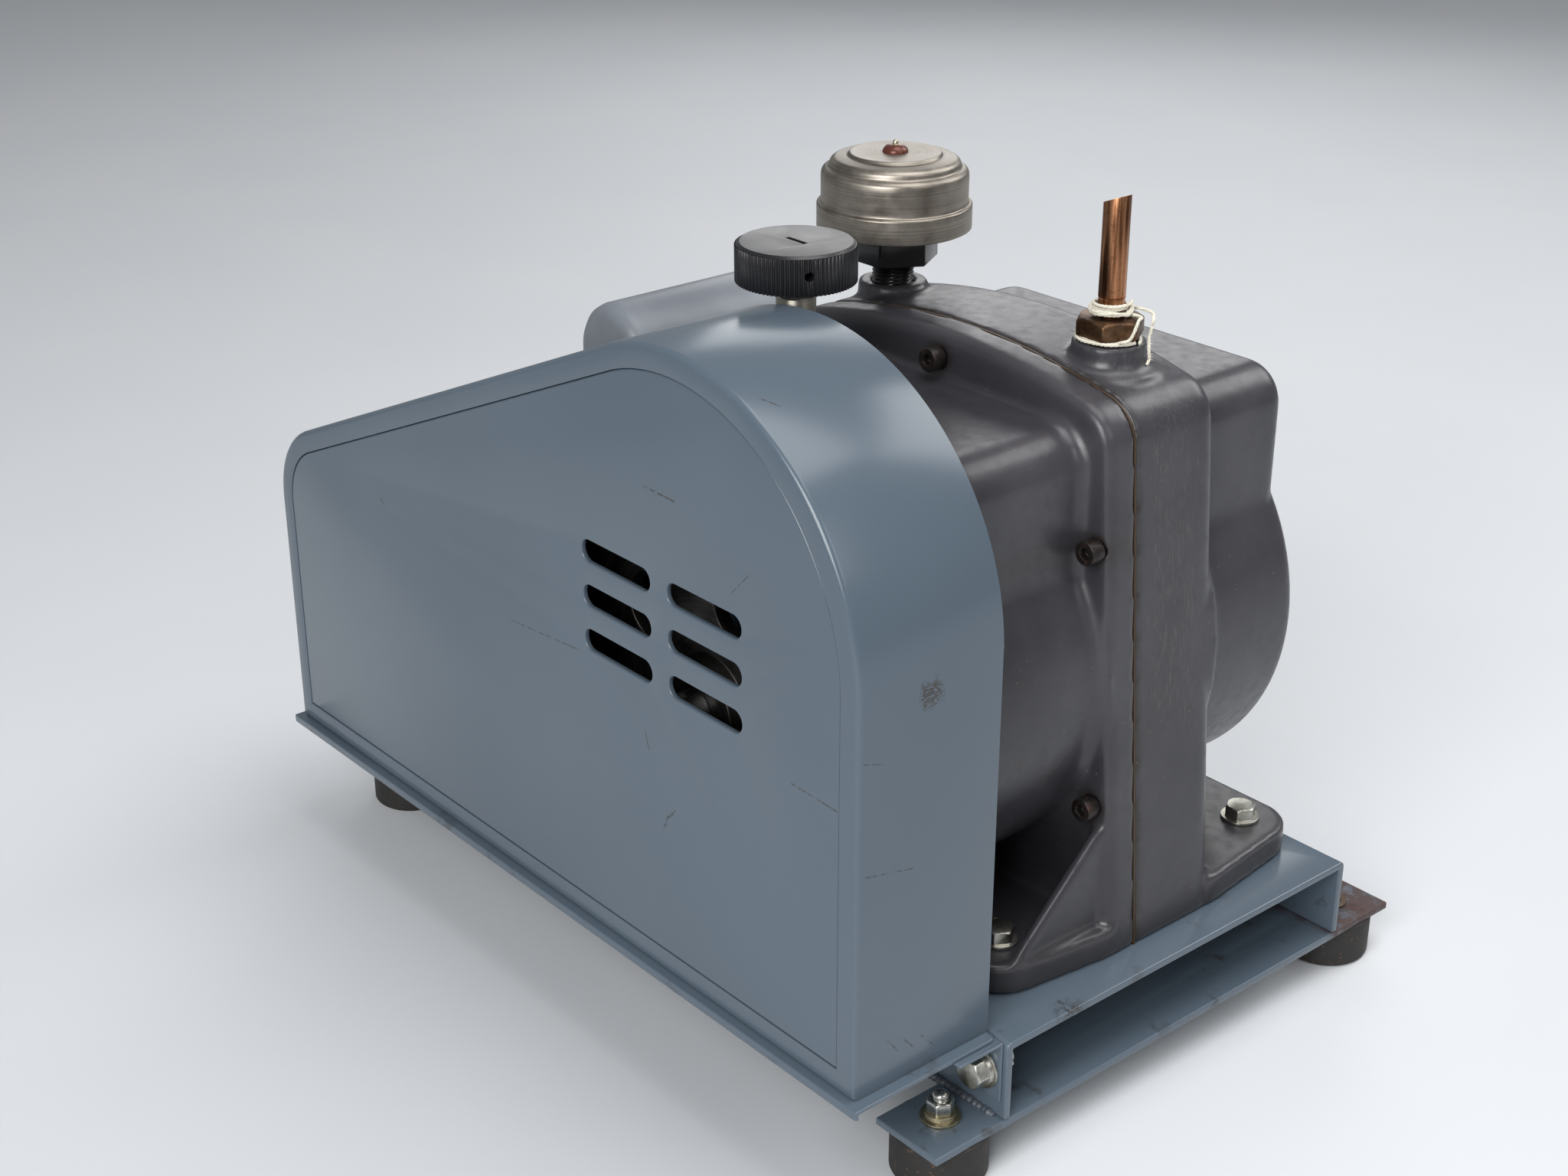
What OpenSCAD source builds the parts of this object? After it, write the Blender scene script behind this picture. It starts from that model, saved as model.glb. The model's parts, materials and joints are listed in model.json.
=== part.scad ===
// Belt driven two stage rotary vane vacuum pump on a steel base with rubber feet.
// Millimetres, Z up, origin on the floor under the middle of the whole machine.
// X runs along the base, the belt guard is at the front (minus Y).

/* [Base frame] */
// Length of the base channel from end to end
base_len = 504; // [460:1:620]
// Width of the channel over its two flanges
base_w = 248; // [236:1:300]
// Height of the channel from the edge of a flange to the top face
base_h = 42.5; // [34:0.5:60]
// Thickness of the steel in the channel
base_t = 4; // [3:0.5:6]
// Thickness of the cross plates that carry the feet
plate_t = 4; // [3:0.5:8]
// Depth of a cross plate along the base, between the flanges
plate_d = 110; // [60:1:130]
// Length of a corner tab beyond the flange
tab_reach = 43.5; // [38:0.5:60]
// Width of a corner tab along the base
tab_w = 41; // [34:1:60]
// Place of the middle of the channel behind the origin
base_y = 22.25; // [0:0.25:40]

/* [Feet] */
// Height of a rubber foot
foot_h = 23.5; // [18:0.5:40]
// Diameter of a rubber foot
foot_d = 47; // [34:1:54]
// Distance of a foot inward from the middle of its tab
foot_inset = 1.5; // [0:0.5:5]
// Diameter of the stud that is moulded into a foot
stud_d = 7.8; // [6:0.1:10]
// Hexagon of the foot nut across its flats
foot_nut_af = 12; // [10:0.5:19]

/* [Belt guard] */
// Length of the guard along the base
guard_len = 480; // [460:1:520]
// Depth of the guard from its face to its back plate
guard_depth = 82.5; // [76:0.5:110]
// Height of the guard from its tray to its top
guard_h = 314; // [300:1:360]
// Radius of the large arch at the pump end
arch_r = 123; // [112:1:135]
// Radius of the small corner at the motor end
corner_r = 50; // [20:1:70]
// Height of the centre of the small corner above the tray
corner_z = 138; // [110:1:160]
// Thickness of the guard sheet
sheet_t = 1.6; // [1:0.1:2.5]
// Radius of the soft edge round the face of the guard
guard_edge_r = 3; // [1:0.5:6]
// Width of the rim that returns round the face panel
rim_w = 11.5; // [8:0.5:20]
// Gap between the guard and the front flange of the base
guard_gap = 1.5; // [1:0.1:6]
// Length of a ventilation slot over its round ends
slot_len = 51.6; // [30:0.1:60]
// Height of a ventilation slot
slot_w = 11; // [6:0.5:16]
// Distance from one slot to the next along the face
slot_step_x = 63.9; // [56:0.1:80]
// Distance from one row of slots to the next
slot_step_z = 22.7; // [18:0.1:30]
// Reach of the tray in front of the face
tray_front = 4; // [2:0.5:8]
// Reach of the tray past the ends of the rim
tray_side = 6; // [2:0.5:10]
// Height of the lip that is folded down at the front of the tray
lip_h = 4.7; // [3:0.1:10]

/* [Pump castings] */
// Place of the pump shaft along the base
pump_x = 104; // [90:1:110]
// Height of the pump shaft above the base
pump_rise = 134; // [128:1:150]
// Place of the joint face between the two castings
seam_y = 4.25; // [0:0.25:10]
// Half of the width of the flanges where they stand on the base
case_foot_half = 130; // [126:1:136]
// Distance of the upper corner's centre from the middle of the pump
case_corner_x = 87.5; // [84:0.5:92]
// Height of the upper corner's centre above the base
case_corner_rise = 252.7; // [250:0.1:270]
// Radius of the upper corners of the flanges
case_corner_r = 22; // [16:1:30]
// Height of the top of the arched flanges above the base
case_rise = 285.5; // [280:0.5:300]
// Radius of the arch over the flanges
case_arch_r = 382; // [300:1:500]
// Thickness of the front flange
front_flange_t = 19; // [14:1:26]
// Thickness of the rear flange block
rear_flange_t = 58.5; // [44:0.5:60]
// Radius of the soft edge round the front flange
flange_edge_r = 5.5; // [2:0.5:8]
// Radius of the soft edge at the back of the rear flange block
rear_edge_r = 11; // [4:0.5:14]
// Radius of the round body about the shaft
drum_r = 113; // [108:1:118]
// Half of the width of the square upper body
hump_half = 97; // [94:1:100]
// Height of the square upper body above the base
hump_rise = 262; // [258:1:268]
// Radius of the corners of the square upper body
hump_corner_r = 20; // [16:1:34]
// Radius of the hollow blend between the square and the round body
waist_r = 30; // [16:1:40]
// Radius of the soft edge at the ends of the bodies
body_edge_r = 8; // [5:1:16]
// Radius of the hollow blend between the bodies and the flanges
blend_r = 7; // [3:1:10]
// Reach of the front body in front of its flange
front_reach = 80.5; // [72:0.5:81]
// Reach of the rear body behind its flange
rear_reach = 67.5; // [56:1:84]
// Wall of the castings
case_wall = 9; // [7:0.5:12]
// Thickness of the oil gasket between the castings
gasket_t = 1.2; // [0.6:0.1:2]
// Thickness of the feet of the castings
case_foot_t = 16; // [10:1:22]
// Distance of the front foot bolts from the joint face
front_bolt_reach = 65.25; // [60:0.25:72]
// Distance of the rear foot bolts from the joint face
rear_bolt_reach = 113.25; // [100:0.25:130]
// Distance of each foot bolt from the middle of the pump
foot_bolt_x = 100; // [92:1:108]
// Diameter of the foot bolts
foot_bolt_d = 9.5; // [8:0.5:12]

/* [Cover screws] */
// Diameter of a cover screw
cover_screw_d = 8; // [6:0.5:10]
// Diameter of a cover screw's head
cover_head_d = 13; // [10:0.5:16]

/* [Ports] */
// Distance of the ports behind the joint face
port_back = 25; // [20:0.5:30]
// Distance of the intake from the middle of the pump
intake_x = 67.4; // [64:0.1:70]
// Distance of the exhaust from the middle of the pump
exhaust_x = 79.4; // [70:0.1:84]
// Diameter of the cast bosses under the ports
boss_d = 35; // [30:0.5:40]
// Height of the intake boss above the base
intake_boss_rise = 290; // [286:0.5:300]
// Height of the exhaust boss above the base
exhaust_boss_rise = 284; // [280:0.5:300]
// Hexagon of the intake bushing across its flats
bushing_af = 28.6; // [24:0.1:32]
// Outer diameter of the intake tube
tube_d = 12.7; // [9:0.1:16]
// Wall of the intake tube
tube_wall = 1.2; // [0.8:0.1:2]
// Height of the intake tube above its bushing
tube_rise = 57.3; // [30:0.1:60]
// Diameter of the sealing thread
thread_d = 1.5; // [1:0.1:2]
// Outer diameter of the exhaust nipple
nipple_d = 21.3; // [17:0.1:27]
// Hexagon of the exhaust nut across its flats
nut_af = 40; // [34:0.5:44]
// Height of the exhaust nut
nut_h = 16; // [10:0.5:18]
// Diameter of the skirt of the exhaust dome
dome_d = 78; // [60:1:90]
// Height of the skirt of the exhaust dome
skirt_h = 14.7; // [8:0.1:18]
// Height of the whole exhaust dome
dome_h = 38.5; // [30:0.5:44]

/* [Gas ballast] */
// Diameter of the knob over its knurl
knob_d = 56.6; // [40:0.1:62]
// Height of the knob
knob_h = 18.4; // [12:0.1:24]
// Height of the underside of the closed knob above the base
knob_rise = 316.6; // [314:0.1:330]
// Diameter of the ballast stem
stem_d = 18.7; // [14:0.1:22]
// Distance of the knob from the middle of the pump
knob_x = 27.5; // [20:0.5:34]
// Travel of the knob from shut to open
ballast_travel = 2.5; // [1:0.1:4]

/* [Pump mechanism] */
// Diameter of the pump shaft
shaft_d = 22; // [18:0.5:25]
// Radius of both rotors
rotor_r = 40; // [34:0.5:42]
// Radius of the bores in which the rotors turn
chamber_r = 48; // [44:0.5:50]
// Half of the width of the plates and rings round the rotors
stage_half = 72; // [70:1:74]
// Thickness of the front stage plate
front_plate_t = 22; // [20:1:28]
// Length of the exhaust stage
exhaust_ring_t = 28; // [20:1:34]
// Thickness of the plate between the stages
centre_plate_t = 16; // [12:1:20]
// Length of the intake stage
intake_ring_t = 66; // [58:1:72]
// Thickness of the rear stage plate
rear_plate_t = 14; // [10:1:20]
// Thickness of a vane
vane_t = 6; // [4:0.5:8]
// Height of a vane
vane_h = 25; // [18:0.5:28]

/* [Drive] */
// Pitch radius of the pump pulley
pump_pitch_r = 101; // [80:1:105]
// Pitch radius of the motor pulley
motor_pitch_r = 32.5; // [24:0.5:42]
// Width of the belt at its back
belt_w = 12.7; // [9:0.1:17]
// Thickness of the belt
belt_t = 8; // [6:0.5:11]
// Distance of the middle of the belt behind the face of the guard
belt_back = 36.5; // [30:0.5:44]
// Place of the motor shaft along the base
motor_x = -145; // [-150:1:-136]
// Height of the motor shaft above the base
motor_rise = 97; // [92:1:110]

/* [Motor] */
// Diameter of the motor shell
motor_d = 165; // [140:1:168]
// Length of the rolled shell
shell_len = 160; // [120:1:180]
// Distance of the front bell behind the guard
motor_gap = 24; // [16:1:40]
// Depth of each end bell
bell_t = 31; // [24:1:40]
// Diameter of the motor shaft
motor_shaft_d = 15.9; // [12:0.1:20]
// Width of the capacitor cover
cap_w = 58; // [40:1:66]
// Length of the capacitor cover
cap_len = 135; // [90:1:150]
// Height of the top of the capacitor cover above the motor shaft
cap_rise = 143; // [120:1:150]

/* [Hidden] */
$fn = 96;

// Small clearances that are shared by all the fits
run_gap = 0.05;
fit_gap = 0.1;
free_gap = 0.3;
hole_gap = 0.4;
eps = 0.5;

// Colours
slate = [0.36, 0.42, 0.48];
cast_grey = [0.30, 0.29, 0.31];
light_grey = [0.55, 0.56, 0.57];
zinc = [0.74, 0.74, 0.70];
steel = [0.62, 0.63, 0.64];
black = [0.07, 0.07, 0.08];
rubber = [0.09, 0.08, 0.08];
bronze = [0.45, 0.33, 0.22];
nickel = [0.68, 0.66, 0.60];
iron = [0.42, 0.42, 0.43];
copper = [0.72, 0.42, 0.26];

// Heights and places that follow from the driving sizes
plate_z = foot_h;
base_z = plate_z + plate_t;
base_top = base_z + base_h;
base_front = base_y - base_w / 2;
base_back = base_y + base_w / 2;
tab_x = base_len / 2 - tab_w / 2;
tab_out = base_w / 2 + tab_reach / 2;

guard_back_y = base_front - guard_gap;
guard_front_y = guard_back_y - guard_depth;
tray_z = base_top;
guard_z = tray_z + 2;
guard_half = guard_len / 2;
arch_x = guard_half - arch_r;
arch_z = guard_z + guard_h - arch_r;
small_x = corner_r - guard_half;
small_z = guard_z + corner_z;
belt_y = guard_front_y + belt_back;
guard_bolt_d = 9.5;
guard_bolt_x = guard_half - 2;
guard_bolt_z = base_z + 24;

pump_z = base_top + pump_rise;
case_top = base_top + case_rise;
case_corner_z = base_top + case_corner_rise;
hump_top = base_top + hump_rise;
front_face_y = seam_y - front_flange_t;
front_end_y = front_face_y - front_reach;
rear_face_y = seam_y + rear_flange_t;
rear_end_y = rear_face_y + rear_reach;
wall_y = front_end_y + case_wall;
port_y = seam_y + port_back;
intake_top = base_top + intake_boss_rise;
exhaust_top = base_top + exhaust_boss_rise;
bushing_z = intake_top + thread_d + 0.2;
bushing_hex_h = 8.7;
bushing_top = bushing_z + bushing_hex_h;
bushing_thread_d = 25.8;
duct_out_d = 22;
nut_z = exhaust_top + 11;
dome_z = nut_z + nut_h + 0.5;
dome_top = dome_z + dome_h;
cover_points = [[0.6, 272.5], [106, 208], [113, 78], [-106, 208], [-113, 78]];

knob_y = wall_y + 6.5;
knob_z = base_top + knob_rise;
knob_screw_turn = -28;
spindle_d = 8;
stem_tail_d = 12;
stem_bore_d = spindle_d + 4 * run_gap;

plate1_y = wall_y;
ring1_y = plate1_y + front_plate_t;
plate2_y = ring1_y + exhaust_ring_t;
ring2_y = plate2_y + centre_plate_t;
plate3_y = ring2_y + intake_ring_t;
stage_back_y = plate3_y + rear_plate_t;
stage_top = pump_z + stage_half;
chamber_drop = chamber_r - rotor_r - free_gap;
stage_bolt_x = stage_half - 20;
stage_bolt_z = stage_half - 14;
stage_bolt_d = 8;
journal_end = plate3_y + rear_plate_t - 2;
tongue_w = 8;
tongue_y = ring2_y - 8;

// Where each of the two rotors starts and ends
stages = [
  [ring1_y + free_gap, plate2_y - free_gap],
  [ring2_y + free_gap, plate3_y - free_gap]
];
spring_d = 4;
spring_bore_d = 5;
spring_wire = 0.8;
spring_turns = 7;
spring_half = rotor_r - free_gap - vane_h - fit_gap;

seal_disc_d = 64;
seal_bore_d = 36;
seal_neck_d = 44;
seal_disc_t = 6;
seal_y = front_end_y - seal_disc_t;
seal_front_y = seal_y - 10;
shaft_front_y = belt_y - 26;

sight_z = pump_z - 6;
sight_d = 36;
sight_ring_d = 58;
sight_screw_r = 24;
drain_z = pump_z - 88;
drain_d = 13;

motor_z = base_top + motor_rise;
bell1_y = guard_back_y + motor_gap;
shell_y = bell1_y + bell_t;
shell_end_y = shell_y + shell_len;
bell2_end_y = shell_end_y + bell_t;
stator_r = motor_d / 2 - 3;
core_r = 48;
cradle_y1 = shell_y + 4;
cradle_y2 = shell_end_y - 4;
cradle_half = 80;
cradle_bolt_x = 62;
cap_y = shell_y + 20;
hub_r = 22;
cap_can_d = 46;

// Centre distance of the pulleys and the angles where the belt leaves them
belt_dx = pump_x - motor_x;
belt_dz = pump_z - motor_z;
belt_span = sqrt(belt_dx * belt_dx + belt_dz * belt_dz);
belt_tilt = atan2(belt_dz, belt_dx);
belt_open = acos((motor_pitch_r - pump_pitch_r) / belt_span);
groove_depth = belt_t + 3;

// Rod along Y from y0 to y1
module rod_y(d, y0, y1) {
  translate([0, y1, 0])
    rotate([90, 0, 0])
      cylinder(h = y1 - y0, d = d);
}

// Outline in X and Z, given as a flat shape, made solid from y0 to y1
module slab_y(y0, y1) {
  translate([0, y1, 0])
    rotate([90, 0, 0])
      linear_extrude(y1 - y0)
        children();
}

// Flat profile of radius and Y, turned about the Y axis
module turned_y() {
  rotate([-90, 0, 0])
    rotate_extrude()
      children();
}

// Hexagon prism standing on the XY plane
module hex_prism(af, h) {
  cylinder(h = h, d = af / cos(30), $fn = 6);
}

// Hexagon prism with its corners turned off at the upper end
module hex_body(af, h) {
  intersection() {
    hex_prism(af, h);
    union() {
      cylinder(h = h - af * 0.06, d = af / cos(30) + 1);
      translate([0, 0, h - af * 0.06])
        cylinder(h = af * 0.06, d1 = af / cos(30), d2 = af * 0.96);
    }
  }
}

// Flat ring
module washer(d, bore, t) {
  difference() {
    cylinder(h = t, d = d);
    translate([0, 0, -eps])
      cylinder(h = t + 2 * eps, d = bore);
  }
}

// The four corners of the base where a foot sits
module at_feet() {
  for (sx = [-1, 1], sy = [-1, 1])
    translate([sx * (tab_x - foot_inset), base_y + sy * (tab_out - foot_inset), 0])
      children();
}

// The four foot bolts of the pump
module at_pump_bolts() {
  for (sx = [-1, 1], y = [seam_y - front_bolt_reach, seam_y + rear_bolt_reach])
    translate([pump_x + sx * foot_bolt_x, y, 0])
      children();
}

// The four bolts of the motor cradle
module at_motor_bolts() {
  for (sx = [-1, 1], y = [cradle_y1 + 16, cradle_y2 - 16])
    translate([motor_x + sx * cradle_bolt_x, y, 0])
      children();
}

module base_channel() {
  color(slate)
  difference() {
    translate([0, 0, base_z])
      rotate([0, -90, 0])
        linear_extrude(base_len, center = true)
          channel_section();
    at_pump_bolts()
      translate([0, 0, base_z])
        cylinder(h = base_h + eps, d = foot_bolt_d + hole_gap);
    at_motor_bolts()
      translate([0, 0, base_z])
        cylinder(h = base_h + eps, d = 8 + hole_gap);
    for (sx = [-1, 1])
      translate([sx * guard_bolt_x, 0, guard_bolt_z])
        rod_y(guard_bolt_d + hole_gap, base_front - eps, base_front + base_t + eps);
  }
}

// Upside down U of the channel, height along the first axis and Y along the second
module channel_section() {
  bend = 3;
  difference() {
    translate([0, base_front])
      union() {
        square([base_h - bend, base_w]);
        translate([0, bend])
          square([base_h, base_w - 2 * bend]);
        for (y = [bend, base_w - bend])
          translate([base_h - bend, y])
            circle(bend);
      }
    translate([-eps, base_front + base_t])
      square([base_h - base_t + eps, base_w - 2 * base_t]);
  }
}

module cross_plates() {
  color(slate)
  for (sx = [-1, 1])
    difference() {
      translate([0, base_y, plate_z])
        linear_extrude(plate_t)
          union() {
            translate([sx * tab_x, 0])
              square([tab_w, base_w + 2 * tab_reach], center = true);
            translate([sx * (base_len - plate_d) / 2, 0])
              square([plate_d, base_w - 2 * base_t], center = true);
          }
      at_feet()
        translate([0, 0, plate_z - eps])
          cylinder(h = plate_t + 2 * eps, d = stud_d + hole_gap);
    }
}

module rubber_feet() {
  lip = 2.5;
  color(rubber)
  at_feet()
    difference() {
      rotate_extrude()
        union() {
          square([foot_d / 2 - lip, foot_h]);
          translate([0, lip])
            square([foot_d / 2, foot_h - lip]);
          translate([foot_d / 2 - lip, lip])
            circle(lip);
        }
      translate([0, 0, foot_h - 11])
        cylinder(h = 12, d = stud_d + fit_gap);
      translate([0, 0, -eps])
        cylinder(h = 4, d = 12);
    }
}

module foot_studs() {
  color(zinc)
  at_feet()
    translate([0, 0, foot_h - 11])
      cylinder(h = 11 + plate_t + 15, d = stud_d);
}

module foot_washers() {
  color(zinc)
  at_feet()
    translate([0, 0, base_z]) {
      washer(19.8, stud_d + hole_gap, 1.6);
      translate([0, 0, 1.6])
        washer(14.6, stud_d + hole_gap, 2.1);
    }
}

module foot_nuts() {
  color(zinc)
  at_feet()
    translate([0, 0, base_z + 3.7])
      difference() {
        hex_body(foot_nut_af, 6.8);
        translate([0, 0, -eps])
          cylinder(h = 8, d = stud_d + fit_gap);
      }
}

// Points of an arc about a centre, from one angle to another in equal steps
function arc(c, r, from, to, steps) = [for (i = [0 : steps])
  let (a = from + (to - from) * i / steps) [c[0] + r * cos(a), c[1] + r * sin(a)]];

// Outline of the guard in X and Z, drawn in by a given inset
module guard_outline(inset = 0) {
  reach = sqrt(pow(arch_x - small_x, 2) + pow(arch_z - small_z, 2));
  lean = atan2(arch_z - small_z, arch_x - small_x) + acos((corner_r - arch_r) / reach);
  side = guard_half - inset;
  polygon(concat(
    [[-side, guard_z + inset], [side, guard_z + inset]],
    arc([arch_x, arch_z], arch_r - inset, 0, lean, 38),
    arc([small_x, small_z], corner_r - inset, lean, 180, 14)
  ));
}

// Solid block of the guard with its soft front edge
module guard_block() {
  hull() {
    for (a = [0, 30, 60])
      slab_y(guard_front_y + guard_edge_r * (1 - sin(a)) - 0.001, guard_front_y + guard_edge_r)
        guard_outline(guard_edge_r * (1 - cos(a)));
    slab_y(guard_front_y, guard_front_y + guard_edge_r)
      guard_outline(guard_edge_r);
    slab_y(guard_front_y + guard_edge_r, guard_back_y)
      guard_outline(0);
  }
}

module guard_rim() {
  color(slate)
  difference() {
    guard_block();
    slab_y(guard_front_y + sheet_t, guard_back_y + eps)
      guard_outline(sheet_t);
    slab_y(guard_front_y - eps, guard_back_y)
      guard_outline(rim_w);
  }
}

// Rounded ends of one ventilation slot
module slot_shape() {
  for (s = [-1, 1])
    translate([s * (slot_len - slot_w) / 2, 0])
      circle(d = slot_w);
  square([slot_len - slot_w, slot_w], center = true);
}

module at_slots() {
  for (i = [0, 1], j = [-1, 0, 1])
    translate([pump_x - 29.2 + i * slot_step_x, pump_z + 46.9 + j * slot_step_z])
      children();
}

module guard_face() {
  seam = 0.4;
  color(slate)
  difference() {
    union() {
      slab_y(guard_front_y + 0.1, guard_front_y + 2 * sheet_t)
        guard_outline(rim_w + seam);
      slab_y(guard_front_y + sheet_t, guard_front_y + 2 * sheet_t)
        guard_outline(sheet_t + 2);
    }
    slab_y(guard_front_y - eps, guard_front_y + 3 * sheet_t)
      at_slots()
        slot_shape();
  }
}

module guard_back() {
  color(slate)
  difference() {
    slab_y(guard_back_y - sheet_t, guard_back_y)
      guard_outline(sheet_t + 0.1);
    translate([pump_x, 0, pump_z])
      rod_y(seal_neck_d + 6, guard_back_y - 4, guard_back_y + 4);
    for (x = [-6, 6])
      translate([motor_x + x, 0, motor_z])
        rod_y(36, guard_back_y - 4, guard_back_y + 4);
    translate([motor_x, guard_back_y, motor_z])
      cube([12, 8, 36], center = true);
  }
}

module guard_tray() {
  depth = guard_depth + tray_front;
  color(slate) {
    translate([0, 0, tray_z])
      linear_extrude(2)
        difference() {
          translate([-guard_half - tray_side / 2, guard_front_y - tray_front])
            square([guard_len + 1.5 * tray_side, depth]);
          translate([guard_half + tray_side - 4, guard_front_y - tray_front + depth - 4])
            difference() {
              square(5);
              circle(4);
            }
        }
    translate([-guard_half - tray_side / 2, guard_front_y - tray_front, tray_z + 2 - lip_h])
      cube([guard_len + 1.5 * tray_side, 2, lip_h]);
  }
}

module guard_brackets() {
  leaf_w = 23;
  leaf_t = guard_gap;
  color(slate)
  for (sx = [-1, 1])
    difference() {
      union() {
        translate([sx * guard_bolt_x - leaf_w / 2, base_front - leaf_t, guard_bolt_z - 14])
          cube([leaf_w, leaf_t, tray_z - guard_bolt_z + 14]);
        translate([sx * guard_bolt_x - leaf_w / 2, base_front - 28, tray_z - leaf_t])
          cube([leaf_w, 28, leaf_t]);
      }
      translate([sx * guard_bolt_x, 0, guard_bolt_z])
        rod_y(guard_bolt_d + hole_gap, base_front - 6, base_front + eps);
    }
}

module guard_bolts() {
  head_af = 14.3;
  leaf_y = base_front - guard_gap;
  color(zinc)
  for (sx = [-1, 1])
    translate([sx * guard_bolt_x, leaf_y, guard_bolt_z])
      rotate([90, 0, 0]) {
        washer(20.6, guard_bolt_d + hole_gap, 1.6);
        translate([0, 0, 1.6])
          washer(17.3, guard_bolt_d + hole_gap, 2.2);
        translate([0, 0, 3.8])
          hex_body(head_af, 6);
        translate([0, 0, -16])
          cylinder(h = 20, d = guard_bolt_d);
        translate([0, 0, -guard_gap - base_t - 7])
          difference() {
            hex_prism(head_af, 7);
            translate([0, 0, -eps])
              cylinder(h = 8, d = guard_bolt_d);
          }
      }
}

// Pieces of the outline of the case flanges, to be joined by a hull
module case_outline_parts(inset = 0) {
  arch_r_in = case_arch_r - inset;
  translate([-case_foot_half + inset, base_top])
    square([2 * (case_foot_half - inset), 1]);
  for (s = [-1, 1])
    translate([s * case_corner_x, case_corner_z])
      circle(case_corner_r - inset, $fn = 48);
  polygon([for (a = [-12 : 2 : 12])
    [arch_r_in * sin(a), case_top - case_arch_r + arch_r_in * cos(a)]]);
}

// Flange block, with a soft edge on the side that faces minus Y
module flange_block(t, edge) {
  hull() {
    for (a = [0 : 18 : 90])
      slab_y(-t + edge * (1 - sin(a)), 0)
        case_outline_parts(edge * (1 - cos(a)));
  }
  // Filling under the hollow blend of the drum, where that is wider than the face
  intersection() {
    translate([0, 0, pump_z])
      rod_y(2 * (drum_r + blend_r), -t, 0);
    hull()
      slab_y(-t, 0)
        case_outline_parts();
  }
}

// Round bar that stands on the XY plane and has a soft upper edge
module soft_bar(r, h, edge) {
  rotate_extrude()
    union() {
      square([r - edge, h]);
      square([r, h - edge]);
      translate([r - edge, h - edge])
        intersection() {
          circle(edge);
          square(edge);
        }
    }
}

// Hollow blend between a wall on the first axis and a floor on the second
module cove(r) {
  difference() {
    translate([-eps, -eps])
      square(r + eps);
    translate([r, r])
      circle(r);
  }
}

// Hollow blend round the foot of a round bar
module cove_ring(bar_r, r) {
  rotate_extrude()
    translate([bar_r, 0])
      cove(r);
}

// Flat outline of a body: round about the shaft, square above it
module body_outline(inset = 0) {
  low = hump_top - hump_corner_r;
  translate([0, pump_z])
    circle(drum_r - inset);
  for (s = [-1, 1])
    translate([s * (hump_half - hump_corner_r), low])
      circle(hump_corner_r - inset);
  translate([-hump_half + inset, pump_z])
    square([2 * (hump_half - inset), low - pump_z]);
  translate([-hump_half + hump_corner_r, pump_z])
    square([2 * (hump_half - hump_corner_r), hump_top - inset - pump_z]);
}

// One hollow blend at the waist, on the plus X side
module waist() {
  cx = hump_half + waist_r;
  cz = sqrt(pow(drum_r + waist_r, 2) - cx * cx);
  share = drum_r / (drum_r + waist_r);
  translate([0, pump_z])
    difference() {
      polygon([
        [hump_half - 8, cz],
        [cx, cz],
        [cx * share, cz * share],
        [hump_half - 8, cz * share]
      ]);
      translate([cx, cz])
        circle(waist_r);
    }
}

// Body that stands on the XY plane, outline along X and Y
module body(reach) {
  square_reach = reach - 3;
  low = hump_top - hump_corner_r;
  cx = hump_half - hump_corner_r;
  translate([0, pump_z, 0]) {
    soft_bar(drum_r, reach, body_edge_r);
    cove_ring(drum_r, blend_r);
  }
  hull()
    for (sx = [-cx, cx], z = [pump_z + hump_corner_r, low])
      translate([sx, z, 0])
        rotate_extrude($fn = 48)
          polygon(concat(
            [[0, 0], [hump_corner_r, 0]],
            [for (a = [0 : 30 : 90])
              [hump_corner_r - body_edge_r * (1 - cos(a)),
               square_reach - body_edge_r * (1 - sin(a))]],
            [[0, square_reach]]
          ));
  for (s = [0, 1])
    mirror([s, 0, 0])
      linear_extrude(square_reach - body_edge_r)
        waist();
  for (sx = [-cx, cx])
    translate([sx, low, 0])
      cove_ring(hump_corner_r, blend_r);
  for (s = [0, 1])
    mirror([s, 0, 0])
      translate([hump_half, low, 0])
        rotate([90, 0, 0])
          linear_extrude(low - pump_z - 50)
            cove(blend_r);
  translate([cx, hump_top, 0])
    rotate([90, 0, -90])
      linear_extrude(2 * cx)
        cove(blend_r);
}

// Bores for the cover screws, from y0 to y1
module cover_bores(d, y0, y1) {
  for (p = cover_points)
    translate([pump_x + p[0], 0, base_top + p[1]])
      rod_y(d, y0, y1);
}

// Plan of a casting's foot that reaches its two bolts, from the flange to the bolts
module foot_plan(y_flange, y_bolt, pad_r) {
  hull() {
    for (s = [-1, 1])
      translate([s * foot_bolt_x, y_bolt])
        circle(pad_r, $fn = 48);
    translate([-case_foot_half, min(y_flange, y_flange + sign(y_flange - y_bolt) * 5)])
      square([2 * case_foot_half, 5]);
  }
}

// Triangular rib between the front flange and its foot
module gusset() {
  out = case_foot_half - 8;
  rib_t = 6;
  foot_top = base_top + case_foot_t;
  for (s = [0, 1])
    mirror([s, 0, 0])
      translate([out - rib_t, 0, 0])
        rotate([90, 0, 90])
          linear_extrude(rib_t)
            polygon([
              [front_face_y + 2, foot_top - 2],
              [front_face_y + 2, foot_top + 54],
              [front_face_y - 4, foot_top + 51],
              [front_face_y - 60, foot_top - 2]
            ]);
}

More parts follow.
